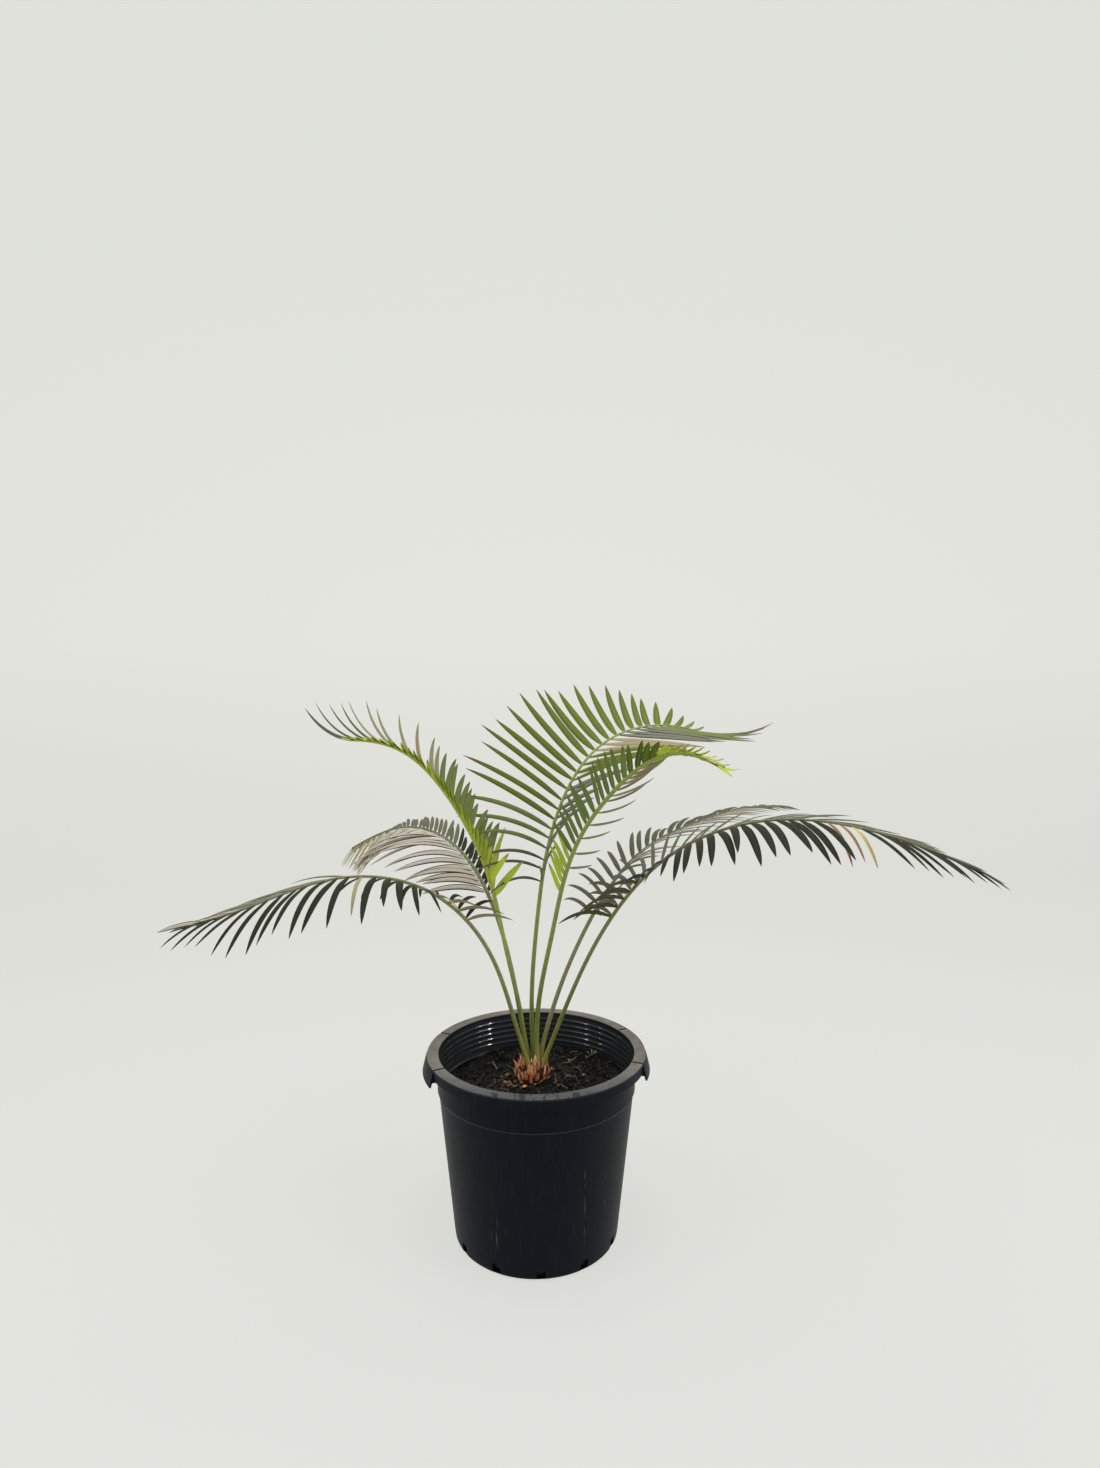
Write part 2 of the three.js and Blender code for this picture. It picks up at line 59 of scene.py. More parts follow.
# The fronds, by the same rule as the solids: foot on the crown, heading from +X, length, tilts of the
# midrib from upright, where the blade starts, and pairs of leaflets. The leaflets' reach, sweep, lift,
# roll, droop, hook, rise and width are given for both sides or for the right and left side, as lists at
# even steps along the blade or as one value. leaves names their materials from the blade's start to its
# tip, odd the few short, hanging leaflets of another material, fold their crease and stalk the stalk's
# material. stout thickens a midrib's tip, and every leaves leaflets out: 2 keeps each second one.
FRONDS = {
    "left_frond": dict(
        foot=(-12, -12.5), heading=192, length=586, tilts=(17, 19, 45, 81, 109, 102),
        start=0.36, pairs=22,
        roll=0, hook=-0.25, rise=0, fold=0.25, stalk="green", odd={("left", 9): "tan"},
        right=dict(reach=(75, 88, 98, 88, 54), sweep=(95, 74, 26, 15, 9), lift=(45, -10, 3, 32, 45),
                   droop=(0.6, 0.9, 0.38, 0.26, 0.32), width=(5.5, 6.5, 7.5, 7.5, 6.5),
                   leaves=("dark", "dark", "silver", "silver", "pale")),
        left=dict(reach=(72, 78, 104, 94, 54), sweep=(95, 80, 66, 48, 30), lift=(58, 10, 4, 4, 8),
                  droop=(0.6, 0.9, 0.95, 0.9, 0.55), width=(5, 9, 9.5, 11, 10),
                  leaves=("tan", "dark", "dark", "dark", "dark", "dark"))),
    "right_frond": dict(
        foot=(11, -4.5), heading=340, length=715, tilts=(21, 25, 41, 71, 99, 112),
        start=0.31, pairs=34,
        roll=0, hook=-0.1, rise=0, fold=0.25, stalk="dark",
        odd={("right", 22): "brown", ("right", 23): "brown", ("right", 24): "straw"},
        right=dict(reach=(76, 82, 102, 88, 56), sweep=(90, 80, 62, 45, 27), lift=(64, 12, 0, 2, 8),
                   droop=(1.2, 1, 0.8, 0.68, 0.38), width=(5.5, 10, 11.5, 11.5, 12),
                   leaves=("olive", "dark", "dark", "dark", "dark", "dark", "dark")),
        left=dict(reach=(80, 88, 96, 86, 54), sweep=(95, 70, 44, 24, 14), lift=(62, 14, 2, 0, 0),
                  droop=(1, 0.4, 0.25, 0.15, 0.15), width=(5.5, 7.5, 8, 9.5, 11),
                  leaves=("olive",))),
    "back_right_frond": dict(
        foot=(4.5, 5.5), heading=30, length=629, tilts=(16, 27.5, 41.5, 71, 82, 94.5),
        start=0.32, pairs=29, roll=0, hook=0.4, rise=0, sweep=(72, 36, 36), lift=(45, 14, 12),
        droop=(1.2, 0.6, 0.6), width=8.5, fold=0.3, stalk="olive", odd={},
        right=dict(reach=(60, 80, 84, 60, 36), leaves=("olive", "pale", "pale", "pale", "olive")),
        left=dict(reach=(66, 70, 74, 60, 36), width=(5.5, 7.5, 8, 8), leaves=("olive",))),
    "back_left_frond": dict(
        foot=(-11.5, 6.5), heading=137, length=606, tilts=(15, 18, 38, 76, 105, 115),
        start=0.38, pairs=40, roll=(0, 12, 0), hook=0.3, rise=-0.2, fold=0.25, stalk="olive", odd={},
        right=dict(reach=(60, 64, 62, 50, 32), sweep=(52, 50, 48, 38, 28), lift=(0, 10, 18, 14, 5),
                   droop=0.3, width=(6.5, 6.5, 7, 6), leaves=("dark", "olive", "olive", "olive")),
        left=dict(reach=(100, 132, 116, 78, 40), sweep=(62, 62, 62, 58, 40), lift=(10, 22, 2, -38, -48),
                  droop=(0.9, 1, 0.8, 0.5, 0.3), width=(10, 10.5, 10.5, 8, 5),
                  leaves=("pale", "pale", "pale", "pale", "tan", "tan"))),
    "young_back_frond": dict(
        foot=(-3.5, 4), heading=28, length=646, tilts=(-5, 4.5, 10.5, 32, 76, 104.5),
        start=0.37, pairs=28, hook=0, rise=0, fold=0.35, stalk="young", odd={},
        right=dict(reach=(70, 96, 126, 154, 138), sweep=(60, 56, 46, 27, 12),
                   lift=(-10, -26, -40, -18), roll=(45, 20, 0, 0), droop=(0.3, 0.3, 0.2, 0, -0.7),
                   width=(7, 8, 8, 8, 8.5),
                   leaves=("silver", "silver", "silver", "young", "tan", "silver", "deep", "olive")),
        left=dict(reach=(116, 148, 128, 72, 60), sweep=(70, 72, 86, 68, 16), lift=(45, 25, 10, 0),
                  roll=(-60, -45, -20, 0), droop=(1, 0.3, -0.4, -0.8, -0.3),
                  width=(3.5, 7.5, 10.5, 10.5, 9),
                  leaves=("olive", "deep", *["young"] * 6, "deep"))),
    "young_left_frond": dict(
        foot=(-13.5, -3.5), heading=217, length=554, tilts=(6, 15, 14.5, 29.5, 46, 88),
        start=0.41, pairs=32, roll=(15, 30, 10), hook=-0.1, droop=0, fold=0.4, stalk="fresh",
        stout=2.3, odd={},
        right=dict(reach=(104, 46, 50, 60, 74), sweep=(36, 50, 42, 24, 4), lift=(40, 55, 42, 34, 10),
                   rise=(0.2, 0.2, 0.4, 0.8, 1.1), width=(10, 10.5, 10.5, 6, 4.5),
                   every=(2, 1, 1, 1, 1, 1, 2, 2, 1, 1),
                   leaves=("fresh", "deep", "deep", "deep", "deep", "tan", "tan", "tan", "olive")),
        left=dict(reach=(76, 34, 38, 32, 22), sweep=(52, 24, 19, 18, 15), lift=(40, 30, 20), rise=0.15,
                  width=(9.5, 9.5, 9, 8, 7), every=(2, 1, 1, 1, 1), leaves=("fresh",))),
    "young_front_frond": dict(
        foot=(1, -8), heading=306, length=617, tilts=(-4, 17, 19, 43, 63, 112),
        start=0.40, pairs=31, hook=-0.1, fold=0.4, stalk="young", stout=2.7, odd={},
        right=dict(reach=(40, 54, 50, 34, 24), sweep=(35, 56, 50, 20, 11), lift=(62, 65, 55, 30),
                   roll=(12, 8, 0), rise=0, droop=0.3, width=(8, 8, 8, 9, 9),
                   leaves=("fresh", "deep", "deep", "deep", "young", "fresh", "fresh")),
        left=dict(reach=(34, 44, 62, 36, 22), sweep=(84, 72, 40, 18, 11), lift=(-30, -26, -20, -10),
                  roll=0, rise=0.5, droop=0, width=(4, 4, 4.5, 7, 8),
                  every=(9, 2, 2, 2, 1, 1, 1, 1, 1), leaves=("tan", "tan", "fresh"))),
}

# The leaflets' materials: upper side, underside, rib, tip, and roughness
LEAVES = {
    "dark": ("#17190d", "#28291c", "#363821", "#30291f", 0.5),
    "olive": ("#4a4c2f", "#626350", "#6b6f42", "#786a4e", 0.5),
    # The pale kind's light beige is painted light: leaflet backs lit from behind
    "pale": ("#aaa192", "#b6ac9c", "#bdb4a0", "#a08a70", 0.65),
    "silver": ("#66685a", "#7f7e6e", "#84846c", "#7a694f", 0.55),
    "young": ("#52601e", "#65702d", "#808a3c", "#78633e", 0.5),
    "deep": ("#62733a", "#74814a", "#828c52", "#6b5a40", 0.5),
    "fresh": ("#a8b838", "#b6c04c", "#c4cc62", "#8f8a46", 0.5),
    "tan": ("#8f8562", "#a19876", "#aba384", "#84764f", 0.65),
    "brown": ("#7d5c3a", "#8f6f4c", "#9a7c58", "#5a402a", 0.7),
    "straw": ("#c3a75c", "#cfb672", "#d4be84", "#a98a50", 0.65),
}

CROWN_TOP = 236
MIDRIB_STEPS = 160
LEAFLET_STEPS = 12

# A leaflet's width from root to tip, as shares of its full width
LEAFLET_OUTLINE = (0.32, 0.8, 1, 1, 0.97, 0.92, 0.85, 0.72, 0.5, 0.06)

# How much leaflets differ: degrees of sweep and lift, and shares of the rest
SPREAD = {"sweep": 2.2, "lift": 3.5, "bend": 0.1, "reach": 0.03, "width": 0.05, "place": 0.07}

# An odd leaflet's share of the reach, and its own droop and width
ODD_REACH = 0.72
ODD_RULE = {"droop": 1.6, "width": 5.5}


def linear(code):
    """An sRGB hex colour as linear RGBA."""
    values = [int(code[k:k + 2], 16) / 255 for k in (1, 3, 5)]
    return (*[v / 12.92 if v <= 0.04045 else ((v + 0.055) / 1.055) ** 2.4 for v in values], 1)


# Sizes and colours that a user would change

def colour_property(name, description, code):
    return bpy.props.FloatVectorProperty(
        name=name, description=description, subtype="COLOR", size=4, min=0, max=1,
        default=linear(code))


def length_property(name, description, millimetres):
    return bpy.props.FloatProperty(
        name=name, description=description, unit="LENGTH", min=0, default=millimetres * MM)


class CycasPot(bpy.types.PropertyGroup):
    """Sizes and colours of the pot."""
    rim_radius: length_property("Rim radius", "Outer radius of the rim", 150)
    height: length_property("Height", "Height of the pot", 251)
    wall: length_property("Wall", "Thickness of the wall", 2.2)
    plastic: colour_property("Plastic", "The pot's black plastic", "#0b131b")
    dust: colour_property("Dust", "Dry dust and scuffs on the rim", "#8f887d")


class CycasFoliage(bpy.types.PropertyGroup):
    """Sizes and colours of the fronds."""
    breadth: bpy.props.FloatProperty(
        name="Leaflet breadth", description="Share of each leaflet's own width", min=0.2, max=2,
        default=1)
    foot_radius: length_property("Stalk foot", "Radius of a stalk at the crown", 3.6)
    blade_radius: length_property("Stalk middle", "Radius of a stalk where the leaflets start", 3.1)
    tip_radius: length_property("Stalk tip", "Radius of a midrib at its tip", 1.0)
    old_leaf: colour_property("Old leaf", "Upper side of an old leaflet", LEAVES["dark"][0])
    young_leaf: colour_property("Young leaf", "Upper side of a young leaflet", LEAVES["young"][0])
    fresh_leaf: colour_property("Fresh leaf", "Upper side of the youngest leaflets",
                                LEAVES["fresh"][0])


class CycasSoil(bpy.types.PropertyGroup):
    """The potting mix and what lies on it."""
    edge: length_property("Edge height", "Height of the soil at the wall", 203)
    top: length_property("Heap height", "Height of the soil in the middle", 210)
    lumps: length_property("Lumps", "How far lumps stand up", 4.2)
    # Near black: partly the damp mix's own colour, partly painted shade in the gaps between chips
    mix: colour_property("Mix", "The damp potting mix", "#070605")


def settings():
    """What a user has set for the pot, the foliage and the soil."""
    scene = bpy.context.scene
    return scene.cycas_pot, scene.cycas_foliage, scene.cycas_soil


# Meshes and node trees

def fill(tree, node, values):
    """Sets a node's inputs, or links them from other sockets: a dict's by name or number, a tuple's in
    the order of the inputs in use."""
    if isinstance(values, dict):
        pairs = [(node.inputs[key], value) for key, value in values.items()]
    else:
        pairs = zip([socket for socket in node.inputs if socket.enabled], values)
    for socket, value in pairs:
        if isinstance(value, bpy.types.NodeSocket):
            tree.links.new(value, socket)
        else:
            socket.default_value = value


def add(tree, kind, values=(), **properties):
    """Adds a node with its properties set and its inputs filled, and gives its first output in use."""
    node = tree.nodes.new(kind)
    for key, value in properties.items():
        setattr(node, key, value)
    fill(tree, node, values)
    return next((socket for socket in node.outputs if socket.enabled), None)


def new_object(name, mesh):
    piece = bpy.data.objects.new(name, mesh)
    bpy.context.scene.collection.objects.link(piece)
    return piece


def mesh_of(name, places, faces, edges=()):
    """A mesh from places in millimetres."""
    mesh = bpy.data.meshes.new(name)
    mesh.from_pydata((np.asarray(places, float) * MM).tolist(), list(edges), list(faces))
    mesh.validate()
    return mesh


def seat(piece, slot, *nodes):
    """The piece rides on the plant's one body and stands for CAD nodes; slot is not used."""
    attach(piece, BODY)
    if nodes:
        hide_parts(*nodes)


def smooth_by_angle(piece, degrees=40):
    piece.data.shade_smooth()
    piece.data.set_sharp_from_angle(angle=math.radians(degrees))


def tree_with(name, sockets):
    """A Geometry Nodes tree with a geometry in and out and named inputs: type, name and default."""
    tree = bpy.data.node_groups.new(name, "GeometryNodeTree")
    tree.interface.new_socket("Geometry", in_out="INPUT", socket_type="NodeSocketGeometry")
    for kind, label, default in sockets:
        socket = tree.interface.new_socket(label, in_out="INPUT", socket_type="NodeSocket" + kind)
        if default is not None:
            socket.default_value = default
    tree.interface.new_socket("Geometry", in_out="OUTPUT", socket_type="NodeSocketGeometry")
    return tree, add(tree, "NodeGroupInput").node.outputs


def end_tree(tree, geometry, material):
    """Ends a tree: instances made real, material set."""
    real = add(tree, "GeometryNodeRealizeInstances", {"Geometry": geometry})
    dressed = add(tree, "GeometryNodeSetMaterial", {"Geometry": real, "Material": material})
    add(tree, "NodeGroupOutput", {"Geometry": dressed})
    return tree


def grown(name, source, tree, values):
    """The plain mesh piece that a tree makes of a source mesh, with inputs of the tree set by name."""
    piece = new_object(name, source)
    modifier = piece.modifiers.new("grow", "NODES")
    modifier.node_group = tree
    for item in tree.interface.items_tree:
        if item.in_out == "INPUT" and item.name in values:
            modifier[item.identifier] = values[item.name]
    depsgraph = bpy.context.evaluated_depsgraph_get()
    mesh = bpy.data.meshes.new_from_object(
        piece.evaluated_get(depsgraph), preserve_all_data_layers=True, depsgraph=depsgraph)
    piece.modifiers.remove(modifier)
    piece.data = mesh
    return piece


def product(tree, *values):
    """Values multiplied together."""
    whole = values[0]
    for value in values[1:]:
        whole = add(tree, "ShaderNodeMath", (whole, value), operation="MULTIPLY")
    return whole


def facing_lines(tree, source):
    """The source's lines as curves whose sections turn to facing."""
    line = add(tree, "GeometryNodeMeshToCurve", {"Mesh": source})
    facing = add(
        tree, "GeometryNodeInputNamedAttribute", {"Name": "facing"}, data_type="FLOAT_VECTOR")
    line = add(tree, "GeometryNodeSetCurveNormal", {"Curve": line, "Normal": facing}, mode="FREE")
    return add(tree, "GeometryNodeSetCurveRadius", {"Curve": line, "Radius": 1.0})


def drawn_along(tree, line, section):
    """A section, drawn along lines at the scale of their girth."""
    section = add(tree, "GeometryNodeMeshToCurve", {"Mesh": section})
    girth = add(tree, "GeometryNodeInputNamedAttribute", {"Name": "girth"}, data_type="FLOAT")
    return add(tree, "GeometryNodeCurveToMesh", {
        "Curve": line, "Profile Curve": section, "Scale": girth, "Fill Caps": True})


def blade_tree():
    """Lines become thin blades: a four-sided section, creased along the middle and folded to a V.
    The line's points carry girth, the half width, and facing, the direction of the upper side."""
    tree, given = tree_with("Blades on lines", [
        ("Float", "Thickness", 0.12), ("Float", "Fold", 0.25), ("Material", "Finish", None)])
    section = add(tree, "GeometryNodeMeshCircle", {"Vertices": 4, "Radius": 1.0})
    place = add(tree, "GeometryNodeInputPosition")
    x, y, _ = add(tree, "ShaderNodeSeparateXYZ", (place,)).node.outputs
    width = add(tree, "ShaderNodeMath", (x,), operation="ABSOLUTE")
    below = add(tree, "ShaderNodeMath", (y, -0.5, 0.5), operation="MULTIPLY_ADD")
    for name, value in (("across", width), ("below", below)):
        section = add(tree, "GeometryNodeStoreNamedAttribute", {
            "Geometry": section, "Name": name, "Value": value}, data_type="FLOAT")
    height = product(tree, y, given["Thickness"])
    height = add(tree, "ShaderNodeMath", (
        height, product(tree, width, given["Fold"])), operation="ADD")
    shape = add(tree, "ShaderNodeCombineXYZ", (height, x))
    section = add(tree, "GeometryNodeSetPosition", {"Geometry": section, "Position": shape})
    blade = drawn_along(tree, facing_lines(tree, given["Geometry"]), section)
    return end_tree(tree, blade, given["Finish"])


def tube_tree():
    """Lines become round tubes with small bumps in two rows. Points carry girth, the radius, and
    facing, and bumps stand where bump is over a half."""
    tree, given = tree_with("Tubes on lines", [
        ("Int", "Sides", 10), ("Float", "Flatness", 0.85), ("Float", "Bump size", 0.001),
        ("Material", "Finish", None)])
    ring = add(tree, "GeometryNodeMeshCircle", {"Vertices": given["Sides"], "Radius": 1.0})
    stretch = add(tree, "ShaderNodeCombineXYZ", (given["Flatness"], 1.0, 1.0))
    section = add(tree, "GeometryNodeTransform", {"Geometry": ring, "Scale": stretch})
    line = facing_lines(tree, given["Geometry"])
    knob = add(tree, "GeometryNodeMeshIcoSphere", {"Radius": given["Bump size"], "Subdivisions": 1})
    girth, bump, facing = (
        add(tree, "GeometryNodeInputNamedAttribute", {"Name": name}, data_type=kind)
        for name, kind in (("girth", "FLOAT"), ("bump", "FLOAT"), ("facing", "FLOAT_VECTOR")))
    tangent = add(tree, "GeometryNodeInputTangent")
    sideways = add(tree, "ShaderNodeVectorMath", (facing, tangent), operation="CROSS_PRODUCT")
    chosen = add(tree, "FunctionNodeCompare", {0: bump, 1: 0.5})
    parts = [drawn_along(tree, line, section)]
    for way in (1.0, -1.0):
        offset = add(tree, "ShaderNodeVectorMath", {
            0: sideways, "Scale": product(tree, girth, way)}, operation="SCALE")
        moved = add(tree, "GeometryNodeSetPosition", {"Geometry": line, "Offset": offset})
        points = add(tree, "GeometryNodeCurveToPoints", {"Curve": moved}, mode="EVALUATED")
        parts.append(add(tree, "GeometryNodeInstanceOnPoints", {
            "Points": points, "Selection": chosen, "Instance": knob}))
    joined = add(tree, "GeometryNodeJoinGeometry")
    for part in parts:
        tree.links.new(part, joined.node.inputs[0])
    return end_tree(tree, joined, given["Finish"])


def scatter_tree():
    """Rough chips strewn over the upward faces of a surface."""
    tree, given = tree_with("Chips on soil", [
        ("Float", "Density", 20000.0), ("Vector", "Smallest", (0.001, 0.001, 0.0005)),
        ("Vector", "Largest", (0.005, 0.003, 0.002)), ("Int", "Seed", SEED),
        ("Material", "Finish", None)])
    normal = add(tree, "GeometryNodeInputNormal")
    upward = add(tree, "ShaderNodeSeparateXYZ", (normal,)).node.outputs[2]
    upward = add(tree, "FunctionNodeCompare", {0: upward, 1: 0.4})
    points = add(tree, "GeometryNodeDistributePointsOnFaces", {
        "Mesh": given["Geometry"], "Selection": upward, "Density": given["Density"],
        "Seed": given["Seed"]})
    size, turn = (
        add(tree, "FunctionNodeRandomValue", {
            "Min": low, "Max": high, "Seed": given["Seed"]}, data_type="FLOAT_VECTOR")
        for low, high in ((given["Smallest"], given["Largest"]),
                          ((-0.5, -0.5, 0.0), (0.5, 0.5, 2 * math.pi))))
    chip = add(tree, "GeometryNodeMeshIcoSphere", {"Radius": 1.0, "Subdivisions": 1})
    place = add(tree, "GeometryNodeInputPosition")
    rough = add(tree, "ShaderNodeTexWhiteNoise", {0: place}, noise_dimensions="3D")
    offset = add(tree, "ShaderNodeVectorMath", {
        0: rough.node.outputs["Color"], 1: (-0.5, -0.5, -0.5)}, operation="ADD")
    chip = add(tree, "GeometryNodeSetPosition", {"Geometry": chip, "Offset": offset})
    strewn = add(tree, "GeometryNodeInstanceOnPoints", {
        "Points": points, "Instance": chip, "Rotation": turn, "Scale": size})
    return end_tree(tree, strewn, given["Finish"])


def lines_mesh(name, lines):
    """A mesh of open lines, each a dict of places in millimetres and of its points' attributes."""
    places = np.concatenate([line["places"] for line in lines])
    edges, first = [], 0
    for line in lines:
        count = len(line["places"])
        edges += [(first + k, first + k + 1) for k in range(count - 1)]
        first += count
    mesh = mesh_of(name, places, (), edges)
    for label in ("girth", "tone", "place", "bump"):
        values = np.concatenate([
            np.broadcast_to(line.get(label, 0.0), len(line["places"])) for line in lines])
        values = values * MM if label == "girth" else values
        data = mesh.attributes.new(label, "FLOAT", "POINT").data
        data.foreach_set("value", values.astype(np.float32))
    facing = np.concatenate([line["facing"] for line in lines]).astype(np.float32)
    data = mesh.attributes.new("facing", "FLOAT_VECTOR", "POINT").data
    data.foreach_set("vector", facing.ravel())
    return mesh


# The plant's rules

def smooth(values, t):
    """The value at t, from 0 to 1, of a smooth line through evenly spaced values or of a steady one."""
    if not isinstance(values, (list, tuple)):
        return values
    last = len(values) - 1
    place = min(max(t, 0.0), 1.0) * last
    i = min(int(place), last - 1)
    u = place - i
    a, b, c, d = values[max(i - 1, 0)], values[i], values[i + 1], values[min(i + 2, last)]
    bend = (2 * a - 5 * b + 4 * c - d) * u ** 2
    twist = (3 * b - a - 3 * c + d) * u ** 3
    return 0.5 * (2 * b + (c - a) * u + bend + twist)


def unit(v):
    return v / np.linalg.norm(v)


def axes_at(frond, t):
    """A midrib's direction, the frond's right side and its upper side."""
    heading = math.radians(frond["heading"])
    tilt = math.radians(smooth(frond["tilts"], t))
    outward = np.array([math.cos(heading), math.sin(heading), 0.0])
    along = outward * math.sin(tilt) + np.array([0, 0, math.cos(tilt)])
    right = np.array([math.sin(heading), -math.cos(heading), 0.0])
    return along, right, np.cross(right, along)


def midrib(frond):
    """Points at even steps along a frond's midrib, in millimetres."""
    points = [np.array([*frond["foot"], CROWN_TOP], float)]
    for k in range(MIDRIB_STEPS):
        along = axes_at(frond, (k + 0.5) / MIDRIB_STEPS)[0]
        points.append(points[-1] + along * frond["length"] / MIDRIB_STEPS)
    return np.array(points)


def stalk_radius(frond, t, sizes):
    """Radius of a frond's stalk or midrib, in millimetres."""
    if t < frond["start"]:
        foot, blade = sizes.foot_radius, sizes.blade_radius
        share = t / frond["start"]
    else:
        foot, blade = sizes.blade_radius, sizes.tip_radius * frond.get("stout", 1)
        share = (t - frond["start"]) / (1 - frond["start"])
    return (foot + (blade - foot) * share) / MM


def leaflet_line(frond, rule, points, u, side, sizes, draw):
    """One leaflet's middle line, with its half width and its upper side at each point."""
    t = frond["start"] + (1 - frond["start"]) * u
    place = min(t * MIDRIB_STEPS, MIDRIB_STEPS - 1e-6)
    k = int(place)
    point = points[k] + (points[k + 1] - points[k]) * (place - k)
    along, right, above = axes_at(frond, t)
    roll = math.radians(smooth(rule["roll"], u))
    outward = right * math.cos(roll) + above * math.sin(roll)
    upper = above * math.cos(roll) - right * math.sin(roll)
    sweep = math.radians(smooth(rule["sweep"], u) + draw.normal(0, SPREAD["sweep"]))
    lift = math.radians(smooth(rule["lift"], u) + draw.normal(0, SPREAD["lift"]))
    start = (along * math.cos(sweep) + outward * side * math.sin(sweep) * math.cos(lift)
             + upper * math.sin(sweep) * math.sin(lift))
    bend = along * smooth(rule["hook"], u) + upper * smooth(rule["rise"], u)
    bend = (bend - np.array([0, 0, smooth(rule["droop"], u)])) * draw.normal(1, SPREAD["bend"])
    step = smooth(rule["reach"], u) * draw.normal(1, SPREAD["reach"]) / LEAFLET_STEPS
    half_width = smooth(rule["width"], u) * sizes.breadth * draw.normal(1, SPREAD["width"]) / 2
    width = along.copy()
    places, facing = [], []
    for i in range(LEAFLET_STEPS + 1):
        direction = unit(start + bend * (i + 0.5) / LEAFLET_STEPS)
        width = unit(width - direction * (width @ direction))
        places.append(point.copy())
        facing.append(unit(np.cross(width, direction) * side))
        point = point + direction * step
    shares = np.linspace(0, 1, LEAFLET_STEPS + 1)
    outline = np.interp(shares, np.linspace(0, 1, len(LEAFLET_OUTLINE)), LEAFLET_OUTLINE)
    return {
        "places": np.array(places), "facing": np.array(facing), "girth": outline * half_width,
        "tone": draw.random(), "place": shares,
    }


def leaflets_of(frond, points, sizes, draw):
    """A frond's leaflets in pairs, sorted by their material."""
    sorted_lines = {}
    for pair in range(frond["pairs"]):
        for way, side in (("right", 1), ("left", -1)):
            rule = {**frond, **frond[way]}
            u = (pair + 0.5 + draw.normal(0, SPREAD["place"])) / frond["pairs"]
            every = rule.get("every", (1,))
            if (pair + 1) % every[int(u * len(every))]:
                continue
            kind = rule["leaves"][int(u * len(rule["leaves"]))]
            if (way, pair) in frond["odd"]:
                kind = frond["odd"][way, pair]
                rule = {**rule, **ODD_RULE, "reach": ODD_REACH * smooth(rule["reach"], u)}
            line = leaflet_line(frond, rule, points, u, side, sizes, draw)
            sorted_lines.setdefault(kind, []).append(line)
    return sorted_lines


# Materials

def new_material(name):
    material = bpy.data.materials.new(name)
    material.use_nodes = True
    tree = material.node_tree
    return material, tree, tree.nodes["Principled BSDF"]


def noise_of(tree, size, detail=3.0, stretch=None):
    """Noise in the object's own coordinates, with spots about size millimetres apart."""
    place = add(tree, "ShaderNodeTexCoord").node.outputs["Object"]
    if stretch:
        place = add(tree, "ShaderNodeMapping", {"Vector": place, "Scale": stretch})
    return add(tree, "ShaderNodeTexNoise", {
        "Vector": place, "Scale": 1 / (size * MM), "Detail": detail})


def layered(tree, colour, *layers):
    """A colour with others laid over it, each by its share."""
    for share, other in layers:
        colour = add(tree, "ShaderNodeMix", (share, colour, other), data_type="RGBA")
    return colour


# Shares of a leaflet's colour in its darkest and its lightest patches
LEAF_SHADES = (0.72, 1.3)


def leaf_material(kind, upper):
    """Cycad leaflet: a thin blade, leathery and waxy while it lives and papery once dead, with a rib
    pressed in its middle and a tip that dries first. Pale and silver leaflets are darkened along both
    edges, painted shadow where the edges fold."""
    material, tree, shader = new_material(kind + " leaflet")
    _, lower, rib, tip, roughness = LEAVES[kind]
    darker, lighter = ([min(1, share * v) for v in upper[:3]] + [1] for share in LEAF_SHADES)
    tone, below, across, place = (
        add(tree, "ShaderNodeAttribute", attribute_name=name).node.outputs["Fac"]
        for name in ("tone", "below", "across", "place"))
    patches = add(tree, "ShaderNodeMath", (tone, noise_of(tree, 28.57)), operation="ADD")
    patches = add(tree, "ShaderNodeMapRange", (patches, 0.4, 1.6))
    under = add(tree, "ShaderNodeMath", (below, 0.5), operation="GREATER_THAN")
    middle = product(tree, add(tree, "ShaderNodeMapRange", (across, 0.24, 0.1)), 0.5)
    skin = layered(
        tree, darker, (patches, lighter), (under, linear(lower)), (middle, linear(rib)))
    # Pale and silver leaflets are darkened along both edges: painted shadow where the edges fold
    if kind in ("pale", "silver"):
        margin_shadow = add(tree, "ShaderNodeMapRange", (across, 0.52, 0.76))
        skin = layered(tree, skin, (margin_shadow, linear("#33332a")))
    ends = add(tree, "ShaderNodeMath", (place, product(tree, tone, 0.12)), operation="ADD")
    skin = layered(tree, skin, (add(tree, "ShaderNodeMapRange", (ends, 0.9, 1.06)), linear(tip)))
    # The fine veins are drawn about 1 mm apart, coarser than they are, so that they show
    veins = add(tree, "ShaderNodeBump", {
        "Height": noise_of(tree, 1.111, 2.0), "Distance": 0.0002, "Strength": 0.4})
    fill(tree, shader, {
        "Base Color": skin, "Roughness": roughness, "Specular IOR Level": 0.08, "Normal": veins})
    return material


# Stalks: at the foot, along the bare stalk, and between the leaflets
STALK_COLOURS = {
    "green": ("#a0a044", "#828a42", "#7c7a4c"),
    "dark": ("#a8a448", "#727e38", "#6c6c40"),
    "olive": ("#9f9358", "#83805a", "#666a3e"),
    "young": ("#9aa04c", "#859240", "#8c9a3e"),
    "fresh": ("#a6a44c", "#8e9846", "#abbd3e"),
}


